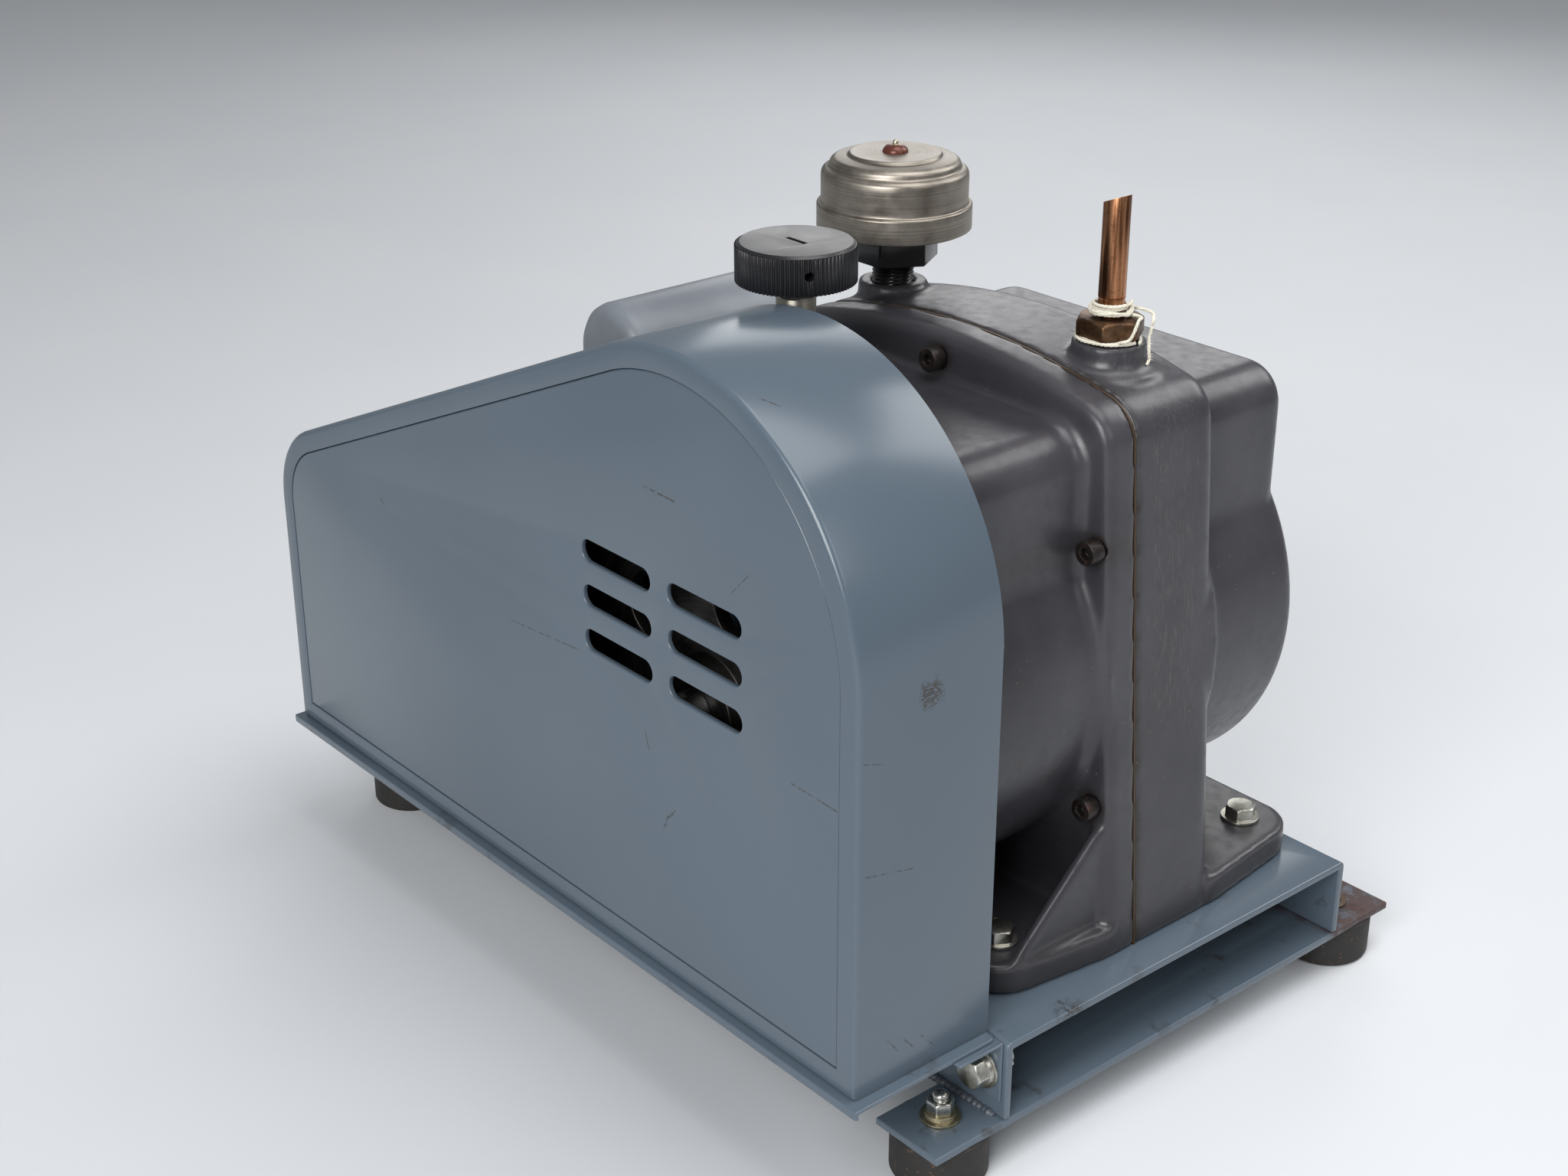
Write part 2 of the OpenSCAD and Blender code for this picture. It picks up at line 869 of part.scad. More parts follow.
module front_casting() {
  back = seam_y - gasket_t / 2;
  bolt_y = seam_y - front_bolt_reach;
  color(cast_grey)
  difference() {
    translate([pump_x, 0, 0])
      union() {
        translate([0, back, 0])
          flange_block(back - front_face_y, flange_edge_r);
        translate([0, front_face_y, 0])
          rotate([90, 0, 0])
            body(front_reach);
        translate([0, 0, base_top])
          linear_extrude(case_foot_t)
            foot_plan(front_face_y, bolt_y, 24);
        gusset();
      }
    translate([pump_x, 0, 0])
      slab_y(wall_y, back + eps)
        body_outline(case_wall);
    translate([pump_x, 0, pump_z]) {
      rod_y(shaft_d + 6, front_end_y - eps, wall_y + eps);
      for (sx = [-1, 1], sz = [-1, 1])
        translate([sx * stage_bolt_x, 0, sz * stage_bolt_z])
          rod_y(stage_bolt_d, wall_y - 5, wall_y + eps);
      for (a = [45 : 90 : 315])
        rotate([0, a, 0])
          translate([seal_disc_d / 2 - 6, 0, 0])
            rod_y(5, front_end_y - eps, front_end_y + 6);
    }
    cover_bores(cover_screw_d + hole_gap, front_face_y - eps, back + eps);
    cover_bores(cover_head_d + 1, front_face_y - 12, front_face_y);
    at_pump_bolts()
      translate([0, 0, base_top - eps])
        cylinder(h = case_foot_t + 1, d = foot_bolt_d + hole_gap);
    translate([pump_x - knob_x, knob_y, hump_top - 40])
      cylinder(h = 60, d = stem_tail_d + fit_gap);
    translate([pump_x - knob_x, knob_y, hump_top - 3])
      cylinder(h = 20, d = stem_d + fit_gap);
  }
}

module case_gasket() {
  half = gasket_t / 2;
  color([0.28, 0.20, 0.12])
  difference() {
    translate([pump_x, 0, 0])
      hull()
        slab_y(seam_y - half, seam_y + half)
          case_outline_parts(0.6);
    translate([pump_x, 0, 0])
      slab_y(seam_y - gasket_t, seam_y + gasket_t)
        body_outline(case_wall);
    cover_bores(cover_screw_d + hole_gap, seam_y - gasket_t, seam_y + gasket_t);
  }
}

module rear_casting() {
  front = seam_y + gasket_t / 2;
  bolt_y = seam_y + rear_bolt_reach;
  duct_d = 14;
  color(cast_grey)
  difference() {
    union() {
      translate([pump_x, front, 0])
        mirror([0, 1, 0])
          flange_block(rear_face_y - front, rear_edge_r);
      translate([pump_x, rear_face_y, 0])
        mirror([0, 1, 0])
          rotate([90, 0, 0])
            body(rear_reach);
      translate([pump_x, 0, base_top])
        linear_extrude(case_foot_t)
          foot_plan(rear_face_y, bolt_y, 23);
      intersection() {
        union() {
          translate([pump_x + intake_x, port_y, case_top - 20])
            boss(intake_top - case_top + 20);
          translate([pump_x - exhaust_x, port_y, case_top - 20])
            boss(exhaust_top - case_top + 20);
        }
        translate([-guard_half, front, 0])
          cube([guard_len, 100, 500]);
      }
    }
    translate([pump_x, 0, 0])
      slab_y(front - eps, rear_end_y - case_wall)
        body_outline(case_wall);
    cover_bores(cover_screw_d + fit_gap, front - eps, front + 20);
    at_pump_bolts()
      translate([0, 0, base_top - eps])
        cylinder(h = case_foot_t + 1, d = foot_bolt_d + hole_gap);
    translate([pump_x + intake_x, port_y, hump_top - 40]) {
      cylinder(h = 100, d = duct_d);
      translate([0, 0, 40 - case_wall - 12])
        cylinder(h = 12, d = duct_out_d + fit_gap);
      translate([0, 0, intake_top - hump_top + 22])
        cylinder(h = 30, d = bushing_thread_d + fit_gap);
    }
    translate([pump_x - exhaust_x, port_y, hump_top - 40]) {
      cylinder(h = 100, d = 15);
      translate([0, 0, exhaust_top - hump_top + 24])
        cylinder(h = 30, d = nipple_d + fit_gap);
    }
    translate([pump_x, 0, sight_z])
      rod_y(sight_d, rear_end_y - case_wall - eps, rear_end_y + eps);
    for (a = [0 : 60 : 300])
      translate([pump_x, 0, sight_z])
        rotate([0, a, 0])
          translate([sight_screw_r, 0, 0])
            rod_y(3.4, rear_end_y - 6, rear_end_y + eps);
    translate([pump_x, 0, drain_z])
      rod_y(drain_d, rear_end_y - case_wall - eps, rear_end_y + eps);
  }
}

// Cast boss with a hollow blend at its foot
module boss(h) {
  cove_r = 7;
  r = boss_d / 2;
  rotate_extrude()
    polygon(concat(
      [[0, 0], [r + cove_r, 0]],
      [for (a = [0 : 15 : 90]) [r + cove_r * (1 - sin(a)), h - 13 + cove_r * (1 - cos(a))]],
      [[r, h], [0, h]]
    ));
}

module cover_screws() {
  head_h = 8;
  key_d = 7;
  color(black)
  for (p = cover_points)
    translate([pump_x + p[0], front_face_y, base_top + p[1]]) {
      difference() {
        rotate([90, 0, 0]) {
          cylinder(h = head_h - 1, d = cover_head_d);
          translate([0, 0, head_h - 1])
            cylinder(h = 1, d1 = cover_head_d, d2 = cover_head_d - 1.6);
        }
        translate([0, -head_h + 4, 0])
          rotate([90, 0, 0])
            hex_prism(key_d, 5);
      }
      rod_y(cover_screw_d, -eps, front_flange_t + 18);
    }
}

module pump_foot_bolts() {
  top = base_top + case_foot_t;
  color(zinc)
  at_pump_bolts() {
    translate([0, 0, top])
      washer(20, foot_bolt_d + hole_gap, 1.8);
    translate([0, 0, top + 1.8])
      hex_body(14.3, 6);
    translate([0, 0, base_top - base_t - 12])
      cylinder(h = case_foot_t + base_t + 14, d = foot_bolt_d);
    translate([0, 0, base_top - base_t - 8])
      difference() {
        hex_prism(14.3, 8);
        translate([0, 0, -eps])
          cylinder(h = 9, d = foot_bolt_d);
      }
  }
}

module seal_housing() {
  color(cast_grey)
  translate([pump_x, 0, pump_z])
    difference() {
      union() {
        rod_y(seal_disc_d, seal_y, front_end_y);
        rod_y(seal_neck_d, seal_front_y, seal_y + eps);
      }
      rod_y(shaft_d + 6, seal_front_y - eps, front_end_y + eps);
      rod_y(seal_bore_d, seal_front_y - eps, seal_front_y + 9);
      for (a = [45 : 90 : 315])
        rotate([0, a, 0])
          translate([seal_disc_d / 2 - 6, 0, 0])
            union() {
              rod_y(5 + hole_gap, seal_y - eps, front_end_y + eps);
              rod_y(8 + hole_gap, seal_y - eps, seal_y + 3);
            }
    }
}

module oil_seal() {
  color(black)
  translate([pump_x, 0, pump_z])
    difference() {
      rod_y(seal_bore_d, seal_front_y + 1, seal_front_y + 9);
      rod_y(shaft_d + 2 * run_gap, seal_front_y, seal_front_y + 10);
    }
}

module seal_screws() {
  color(zinc)
  translate([pump_x, 0, pump_z])
    for (a = [45 : 90 : 315])
      rotate([0, a, 0])
        translate([seal_disc_d / 2 - 6, 0, 0])
          difference() {
            union() {
              rod_y(8, seal_y - 1, seal_y + 3);
              rod_y(5, seal_y - eps, front_end_y + 5);
            }
            translate([0, seal_y + 1, 0])
              rotate([90, 0, 0])
                hex_prism(4, 3);
          }
}

// Slot and spring bores for one pair of vanes in a rotor that runs from y0 to y1
module vane_slots(y0, y1) {
  slot_floor = rotor_r - free_gap - vane_h - 2;
  for (s = [-1, 1])
    translate([s * (slot_floor + 20) - 20, y0 - eps, -vane_t / 2])
      cube([40, y1 - y0 + 2 * eps, vane_t]);
  for (y = spring_places(y0, y1))
    translate([0, y, 0])
      rotate([0, 90, 0])
        cylinder(h = 2 * slot_floor + 2, d = spring_bore_d, center = true);
}
function spring_places(y0, y1) = y1 - y0 > 40
  ? [y0 + (y1 - y0) * 0.25, y0 + (y1 - y0) * 0.75] : [(y0 + y1) / 2];

module pump_shaft() {
  color(steel)
  translate([pump_x, 0, pump_z])
    difference() {
      union() {
        rod_y(shaft_d, shaft_front_y, tongue_y);
        rod_y(2 * rotor_r, ring1_y + free_gap, plate2_y - free_gap);
        intersection() {
          rod_y(shaft_d, tongue_y - 1, tongue_y + 5);
          translate([-shaft_d, tongue_y - 1, -tongue_w / 2])
            cube([2 * shaft_d, 6, tongue_w]);
        }
      }
      vane_slots(ring1_y + free_gap, plate2_y - free_gap);
      translate([-3, shaft_front_y - eps, shaft_d / 2 - 3])
        cube([6, 46, 4]);
      translate([0, shaft_front_y - eps, 0])
        rotate([-90, 0, 0])
          cylinder(h = 5, d1 = 7, d2 = 2);
    }
}

module intake_rotor() {
  color(steel)
  translate([pump_x, 0, pump_z])
    difference() {
      union() {
        rod_y(shaft_d, tongue_y, journal_end);
        rod_y(2 * rotor_r, ring2_y + free_gap, plate3_y - free_gap);
      }
      translate([-shaft_d, tongue_y - eps, -tongue_w / 2])
        cube([2 * shaft_d, 5 + eps, tongue_w]);
      vane_slots(ring2_y + free_gap, plate3_y - free_gap);
    }
}

module vanes() {
  edge = rotor_r - free_gap;
  color([0.36, 0.27, 0.18])
  translate([pump_x, 0, pump_z])
    for (st = stages, s = [0, 1])
      mirror([s, 0, 0])
        intersection() {
          translate([edge - vane_h, st[0], -vane_t / 2 + 0.05])
            cube([vane_h + 5, st[1] - st[0], vane_t - 0.1]);
          rod_y(2 * edge, st[0], st[1]);
        }
}

// Turns of one straight coil spring along X between the feet of two vanes
module coil_x() {
  rings = spring_turns * 8;
  mean = (spring_d - spring_wire) / 2;
  span = 2 * spring_half - spring_wire;
  points = [for (i = [0 : rings], k = [0 : 5])
    let (
      turn = i / 8 * 360,
      r = mean + spring_wire / 2 * cos(k * 60),
      x = -span / 2 + span * i / rings + spring_wire / 2 * sin(k * 60)
    )
    [x, r * cos(turn), r * sin(turn)]];
  sides = [for (i = [0 : rings - 1], k = [0 : 5])
    let (a = i * 6 + k, b = i * 6 + (k + 1) % 6)
    each [[a, b, a + 6], [b, b + 6, a + 6]]];
  first = [for (k = [0 : 5]) 5 - k];
  last = [for (k = [0 : 5]) rings * 6 + k];
  polyhedron(points, concat(sides, [first], [last]));
}

module vane_springs() {
  color(zinc)
  translate([pump_x, 0, pump_z])
    for (st = stages, y = spring_places(st[0], st[1]))
      translate([0, y, 0])
        coil_x();
}

// Half section of a pulley rim about its middle, with a groove for the belt
module rim_section(pitch_r, inner_r, half_w) {
  outer_r = pitch_r + 3.5;
  floor_r = outer_r - groove_depth - 1;
  mouth = belt_w / 2 + 0.6;
  floor_half = mouth - (outer_r - floor_r) * tan(19);
  polygon([
    [inner_r, -half_w],
    [outer_r, -half_w],
    [outer_r, -mouth],
    [floor_r, -floor_half],
    [floor_r, floor_half],
    [outer_r, mouth],
    [outer_r, half_w],
    [inner_r, half_w]
  ]);
}

module pump_pulley() {
  rim_in = pump_pitch_r - 14;
  hub_d = 50;
  hole_d = 34;
  color(iron)
  translate([pump_x, belt_y, pump_z])
    difference() {
      union() {
        turned_y()
          rim_section(pump_pitch_r, rim_in, 9.5);
        rod_y(2 * rim_in + 1, -4, 4);
        rod_y(hub_d, -14, 26);
      }
      rod_y(shaft_d + fit_gap, -15, 27);
      for (a = [0 : 72 : 288])
        rotate([0, a, 0])
          translate([(rim_in + hub_d / 2) / 2 + 1, 0, 0])
            rod_y(hole_d, -5, 5);
      translate([0, 20, 0])
        cylinder(h = 30, d = 6);
    }
}

module pulley_setscrew() {
  color(black)
  translate([pump_x, belt_y + 20, pump_z])
    difference() {
      translate([0, 0, shaft_d / 2])
        cylinder(h = 12, d = 6);
      translate([0, 0, shaft_d / 2 + 9])
        hex_prism(3, 4);
    }
}

// Outline of the stage plates, with a lug for the intake where it is asked for
module stage_outline(lug = false) {
  r = 30;
  c = stage_half - r;
  for (sx = [-c, c], sz = [-c, c])
    translate([sx, sz])
      circle(r);
  square([2 * stage_half, 2 * c], center = true);
  square([2 * c, 2 * stage_half], center = true);
  if (lug)
    translate([40, stage_half - 36])
      square([intake_x + 16 - 40, 36]);
}

// One plate or ring of the stages from y0 to y1, with its tie bolt holes
module stage_piece(y0, y1, lug = false) {
  difference() {
    slab_y(y0, y1)
      stage_outline(lug);
    for (sx = [-1, 1], sz = [-1, 1])
      translate([sx * stage_bolt_x, 0, sz * stage_bolt_z])
        rod_y(stage_bolt_d + hole_gap, y0 - eps, y1 + eps);
    children();
  }
}

module front_plate() {
  color(iron)
  translate([pump_x, 0, pump_z])
    stage_piece(plate1_y, ring1_y) {
      rod_y(shaft_d + 2 * run_gap, plate1_y - eps, ring1_y + eps);
      translate([-knob_x, knob_y, stage_half - 30])
        cylinder(h = 31, d = 5);
      translate([-knob_x, 0, stage_half - 28])
        rod_y(5, knob_y, ring1_y + eps);
    }
}

module exhaust_ring() {
  mid = (ring1_y + plate2_y) / 2;
  color(iron)
  translate([pump_x, 0, pump_z])
    stage_piece(ring1_y, plate2_y) {
      translate([0, 0, -chamber_drop])
        rod_y(2 * chamber_r, ring1_y - eps, plate2_y + eps);
      for (dy = [-8, 0, 8])
        translate([-22, mid + dy, 20])
          cylinder(h = 60, d = 5);
    }
}

module centre_plate() {
  color(iron)
  translate([pump_x, 0, pump_z])
    stage_piece(plate2_y, ring2_y) {
      rod_y(shaft_d + 2 * run_gap, plate2_y - eps, ring2_y + eps);
      translate([28, 0, 12])
        rod_y(12, plate2_y - eps, ring2_y + eps);
    }
}

module intake_ring() {
  gallery = 52;
  color(iron)
  translate([pump_x, 0, pump_z])
    stage_piece(ring2_y, plate3_y, true) {
      translate([0, 0, -chamber_drop])
        rod_y(2 * chamber_r, ring2_y - eps, plate3_y + eps);
      translate([intake_x, port_y, stage_half - gallery])
        cylinder(h = gallery + 1, d = 13);
      translate([38, port_y, stage_half - gallery + 7])
        rotate([0, 90, 0])
          cylinder(h = intake_x - 38, d = 13);
    }
}

module rear_plate() {
  color(iron)
  translate([pump_x, 0, pump_z])
    stage_piece(plate3_y, stage_back_y)
      rod_y(shaft_d + 2 * run_gap, plate3_y - eps, stage_back_y + eps);
}

module stage_bolts() {
  color(black)
  translate([pump_x, 0, pump_z])
    for (sx = [-1, 1], sz = [-1, 1])
      translate([sx * stage_bolt_x, 0, sz * stage_bolt_z])
        difference() {
          union() {
            rod_y(stage_bolt_d, wall_y - 5, stage_back_y + eps);
            rod_y(13, stage_back_y, stage_back_y + 8);
          }
          translate([0, stage_back_y + 9, 0])
            rotate([90, 0, 0])
              hex_prism(6, 5);
        }
}

module intake_duct() {
  color(steel)
  translate([pump_x + intake_x, port_y, stage_top])
    difference() {
      cylinder(h = hump_top - case_wall - stage_top, d = duct_out_d);
      translate([0, 0, -eps])
        cylinder(h = hump_top - stage_top, d = 14);
    }
}

module exhaust_valve() {
  mid = (ring1_y + plate2_y) / 2;
  color(zinc)
  translate([pump_x - 22, mid, stage_top]) {
    difference() {
      translate([-10, -12.5, 0])
        cube([34, 25, 0.6]);
      translate([19, 0, -eps])
        cylinder(h = 3, d = 5);
    }
    difference() {
      translate([-10, -12.5, 0])
        rotate([-90, 0, 0])
          linear_extrude(25)
            polygon([
              [34, -0.6], [24, -0.6], [0, -3.6], [0, -5.2], [25, -2.2], [34, -2.2]
            ]);
      translate([19, 0, -eps])
        cylinder(h = 5, d = 5);
    }
    translate([19, 0, 2.2])
      cylinder(h = 3, d = 8.5);
    translate([19, 0, 0])
      cylinder(h = 3, d = 5);
  }
}

module intake_bushing() {
  shank_z = intake_top - 18;
  color(bronze)
  translate([pump_x + intake_x, port_y, 0])
    difference() {
      union() {
        translate([0, 0, bushing_z])
          hex_body(bushing_af, bushing_hex_h);
        translate([0, 0, shank_z])
          cylinder(h = bushing_z - shank_z + 1, d = bushing_thread_d);
      }
      translate([0, 0, shank_z - eps])
        cylinder(h = 60, d = tube_seat_d + fit_gap);
    }
}

module intake_tube() {
  foot = intake_top - 12;
  length = bushing_top + tube_rise - foot;
  color(copper)
  translate([pump_x + intake_x, port_y, foot])
    difference() {
      union() {
        cylinder(h = length, d = tube_seat_d);
        translate([0, 0, tube_land_z - foot])
          cylinder(h = length + foot - tube_land_z, d = tube_d);
      }
      translate([0, 0, -eps])
        cylinder(h = length + 2 * eps, d = tube_d - 2 * tube_wall);
      translate([tube_d / 2, 0, length])
        rotate([0, -22, 0])
          translate([-60, -20, 0])
            cube([80, 40, 30]);
    }
}

// Route of the sealing thread about the bushing: a turn under the hexagon, a loose
// loop up its right side, then three turns round the tube and a loose end
thread_low_z = intake_top + thread_d / 2 + 0.1;
thread_low_r = (bushing_thread_d + thread_d) / 2 + 0.15;
thread_out_r = bushing_af / 2 / cos(30) + thread_d / 2 + 0.8;
thread_top_z = bushing_top + thread_d / 2 + 0.1;
thread_tube_r = (tube_d + thread_d) / 2 + 0.2;
thread_pitch = thread_d + 0.55;
// Lower end of the tube, turned down where it sits in the bushing and the thread
tube_seat_d = tube_d - 0.4;
tube_land_z = thread_top_z + 3 * thread_pitch + thread_d / 2 + 1.5;
thread_lift = 1.6;
function thread_point(r, a, z) = [r * cos(a), r * sin(a), z];
function blend(t) = t * t * (3 - 2 * t);
thread_route = concat(
  [for (i = [0 : 5])
    thread_point(thread_low_r + 3.6 * pow(1 - i / 5, 2), 4 + 8 * i, thread_low_z)],
  [for (i = [1 : 20])
    thread_point(thread_low_r, 44 + 13.8 * i, thread_low_z)],
  [for (i = [1 : 5])
    thread_point(thread_low_r + (thread_out_r - thread_low_r) * blend(i / 5), 322 + 3 * i,
      thread_low_z + 2.2 * blend(i / 5))],
  [for (i = [1 : 7])
    thread_point(thread_out_r + 0.9 * sin(i / 7 * 180), 337 + 3 * i,
      thread_low_z + 2.2
      + (thread_top_z + thread_lift - thread_low_z - 2.2) * blend(i / 7))],
  [for (i = [1 : 6])
    thread_point(thread_out_r + (thread_tube_r - thread_out_r) * blend(i / 6), 358 + 7 * i,
      thread_top_z + thread_lift * (1 - blend(i / 6)))],
  [for (i = [1 : 54])
    let (t = i / 54)
    thread_point(thread_tube_r + 1.9 * pow(sin(t * 270), 2), 400 + 1080 * t,
      thread_top_z + 3 * thread_pitch * t)]
);

// Least clear distance between parts of a tube that aren't next to each other
function least_gap(path, d, apart) = min([for (i = [0 : len(path) - 1 - apart])
  min([for (j = [i + apart : len(path) - 1]) norm(path[i] - path[j])])]) - d;

// Unbroken tube with six sides along a list of points
module tube_along(path, d) {
  n = len(path);
  heads = [for (i = [0 : n - 1])
    let (a = path[max(i - 1, 0)], b = path[min(i + 1, n - 1)], v = b - a)
    v / norm(v)];
  ups = [for (i = [0 : n - 1])
    let (side = cross(heads[i], [0, 0, 1]), other = cross(heads[i], [path[i][0], path[i][1], 0]))
    norm(side) > 0.35 ? side / norm(side) : other / norm(other)];
  points = [for (i = [0 : n - 1], k = [0 : 5])
    let (u = ups[i], w = cross(heads[i], u))
    path[i] + d / 2 * (cos(k * 60) * u + sin(k * 60) * w)];
  sides = [for (i = [0 : n - 2], k = [0 : 5])
    let (a = i * 6 + k, b = i * 6 + (k + 1) % 6)
    each [[a, a + 6, b], [b, a + 6, b + 6]]];
  first = [for (k = [0 : 5]) k];
  last = [for (k = [0 : 5]) (n - 1) * 6 + 5 - k];
  polyhedron(points, concat(sides, [first], [last]));
}

module sealing_thread() {
  color([0.88, 0.87, 0.80])
  translate([pump_x + intake_x, port_y, 0])
    tube_along(thread_route, thread_d);
  echo(thread_least_gap = least_gap(thread_route, thread_d, 8));
}

module exhaust_nipple() {
  foot = exhaust_top - 16;
  color(black)
  translate([pump_x - exhaust_x, port_y, foot])
    difference() {
      cylinder(h = dome_z + 9 - foot, d = nipple_d);
      translate([0, 0, -eps])
        cylinder(h = dome_z + 4 - foot, d = nipple_d - 6);
      for (a = [0 : 90 : 270])
        rotate([0, 0, a + 45])
          translate([6, 0, 0])
            cylinder(h = 100, d = 3.6);
      translate([0, 0, dome_z + 3 - foot])
        cylinder(h = 20, d = 5);
    }
}

module exhaust_nut() {
  color(black)
  translate([pump_x - exhaust_x, port_y, nut_z])
    difference() {
      hex_body(nut_af, nut_h);
      translate([0, 0, -eps])
        cylinder(h = nut_h + 1, d = nipple_d + fit_gap);
    }
}

module dome_pan() {
  wall = 1;
  pan_r = dome_d / 2 - 1.4;
  color(nickel)
  translate([pump_x - exhaust_x, port_y, nut_z + nut_h])
    difference() {
      cylinder(h = 7, r = pan_r);
      translate([0, 0, wall])
        cylinder(h = 7, r = pan_r - wall);
      translate([0, 0, -eps])
        cylinder(h = 3, d = nipple_d + fit_gap);
      for (a = [0 : 30 : 330])
        rotate([0, 0, a])
          translate([30, 0, -eps])
            cylinder(h = 3, d = 5);
    }
}

// Outer profile of the pressed dome, drawn in by a given inset
module dome_profile(inset) {
  skirt_r = dome_d / 2;
  upper_r = skirt_r - 2;
  crown_r = skirt_r - 6.5;
  round_r = 4.5;
  step_z = skirt_h;
  shoulder_z = dome_h - 8.2;
  crown_z = dome_h - 2.2;
  difference() {
    union() {
      square([skirt_r - inset, step_z - 1 - inset / 2]);
      square([skirt_r - 1 - inset, step_z - inset / 2]);
      translate([skirt_r - 1 - inset, step_z - 1 - inset / 2])
        circle(1, $fn = 24);
      square([upper_r - inset, shoulder_z - inset - round_r]);
      square([upper_r - round_r - inset, shoulder_z - inset]);
      translate([upper_r - round_r - inset, shoulder_z - inset - round_r])
        circle(round_r);
      square([crown_r - inset, crown_z - inset - 2]);
      translate([0, 0])
        square([crown_r - 2 - inset, crown_z - inset]);
      translate([crown_r - 2 - inset, crown_z - inset - 2])
        circle(2, $fn = 32);
      square([crown_r - 11 - inset, dome_h - inset - 1]);
    }
    translate([-20, -20])
      square([20, 80]);
  }
}

module dome_cover() {
  wall = 0.9;
  color(nickel)
  translate([pump_x - exhaust_x, port_y, dome_z])
    difference() {
      rotate_extrude()
        dome_profile(0);
      translate([0, 0, -wall])
        rotate_extrude()
          dome_profile(wall);
      cylinder(h = 60, d = 5);
    }
}

module dome_screw() {
  color([0.40, 0.20, 0.13])
  translate([pump_x - exhaust_x, port_y, dome_z]) {
    translate([0, 0, 4])
      cylinder(h = dome_h, d = 5);
    translate([0, 0, dome_h - 1]) {
      cylinder(h = 1, d = 14);
      rotate_extrude()
        intersection() {
          square([5.5, 5.9]);
          circle(5.9);
        }
    }
  }
}

module ballast_stem() {
  collar_z = knob_z - free_gap - 5.3;
  seat_z = hump_top + 10;
  color(nickel)
  translate([pump_x - knob_x, knob_y, 0])
    difference() {
      union() {
        translate([0, 0, stage_top])
          cylinder(h = hump_top - stage_top, d = stem_tail_d);
        translate([0, 0, hump_top - 3])
          cylinder(h = collar_z - hump_top + 3, d = stem_d);
        translate([0, 0, collar_z])
          cylinder(h = 5.3, d = stem_d + 3.3);
      }
      translate([0, 0, stage_top - eps])
        cylinder(h = seat_z - stage_top + 1, d = 4);
      translate([0, 0, seat_z])
        cylinder(h = knob_z - seat_z, d = stem_bore_d);
      translate([0, 0, seat_z + 14])
        rotate([0, 90, 0])
          cylinder(h = 30, d = 4, center = true);
    }
}

module ballast_poppet() {
  seat_z = hump_top + 10;
  cone_h = 2;
  color(steel)
  translate([pump_x - knob_x, knob_y, seat_z + free_gap]) {
    cylinder(h = cone_h, d1 = 5, d2 = spindle_d);
    translate([0, 0, cone_h])
      cylinder(h = knob_z + knob_h - 5 - seat_z - free_gap - cone_h, d = spindle_d);
  }
}

module ballast_knob() {
  teeth = 84;
  depth = 0.8;
  r = knob_d / 2;
  color(black)
  translate([pump_x - knob_x, knob_y, knob_z])
    difference() {
      union() {
        linear_extrude(knob_h - 1.2)
          polygon([for (i = [0 : teeth - 1], k = [0 : 3])
            let (a = (i + k / 4) * 360 / teeth, q = k == 0 || k == 1 ? r : r - depth)
            [q * cos(a), q * sin(a)]]);
        translate([0, 0, knob_h - 1.2 - 0.01])
          cylinder(h = 1.21, r1 = r - depth, r2 = r - depth - 1.4);
      }
      translate([0, 0, -eps])
        cylinder(h = knob_h - 4, d = stem_bore_d);
      translate([0, 0, knob_h - 1])
        linear_extrude(2)
          square([13, 2.4], center = true);
      rotate([0, 0, knob_screw_turn])
        translate([0, 0, knob_h / 2])
          rotate([0, 90, 0])
            cylinder(h = r + 1, d = 4.2);
    }
}

module knob_setscrew() {
  color(steel)
  translate([pump_x - knob_x, knob_y, knob_z + knob_h / 2])
    rotate([0, 0, knob_screw_turn])
      rotate([0, 90, 0])
        difference() {
          translate([0, 0, stem_bore_d / 2 + free_gap])
            cylinder(h = 10, d = 4.2);
          translate([0, 0, stem_bore_d / 2 + free_gap + 8])
            hex_prism(2, 3);
        }
}

module sight_glass() {
  color([0.80, 0.86, 0.84])
  translate([pump_x, 0, sight_z])
    rod_y(sight_d, rear_end_y - 5, rear_end_y + 1);
}

module sight_bezel() {
  color(nickel)
  translate([pump_x, 0, sight_z]) {
    difference() {
      union() {
        rod_y(sight_ring_d, rear_end_y, rear_end_y + 4);
        rod_y(sight_ring_d - 16, rear_end_y, rear_end_y + 6);
      }
      rod_y(sight_d - 6, rear_end_y - eps, rear_end_y + 7);
      rod_y(sight_d + hole_gap, rear_end_y - eps, rear_end_y + 1);
      for (a = [0 : 60 : 300])
        rotate([0, a, 0])
          translate([sight_screw_r, 0, 0])
            rod_y(3.4, rear_end_y - eps, rear_end_y + 5);
    }
    for (a = [0 : 60 : 300])
      rotate([0, a, 0])
        translate([sight_screw_r, 0, 0]) {
          rod_y(3.4, rear_end_y - 5, rear_end_y + 4.1);
          rod_y(6, rear_end_y + 4, rear_end_y + 6.2);
        }
  }
}

module drain_plug() {
  color(zinc)
  translate([pump_x, rear_end_y, drain_z])
    rotate([-90, 0, 0]) {
      translate([0, 0, -8])
        cylinder(h = 9, d = drain_d);
      washer(21, drain_d - 0.01, 1.5);
      translate([0, 0, 1.5 - 1])
        cylinder(h = 1, d = drain_d);
      translate([0, 0, 1.5])
        hex_body(17, 8);
    }
}

module motor_shell() {
  color(light_grey)
  translate([motor_x, 0, motor_z])
    difference() {
      rod_y(motor_d, shell_y, shell_end_y);
      rod_y(2 * stator_r, shell_y - eps, shell_end_y + eps);
      translate([0, cap_y + cap_len / 2, 0])
        cylinder(h = motor_d, d = 14);
    }
}

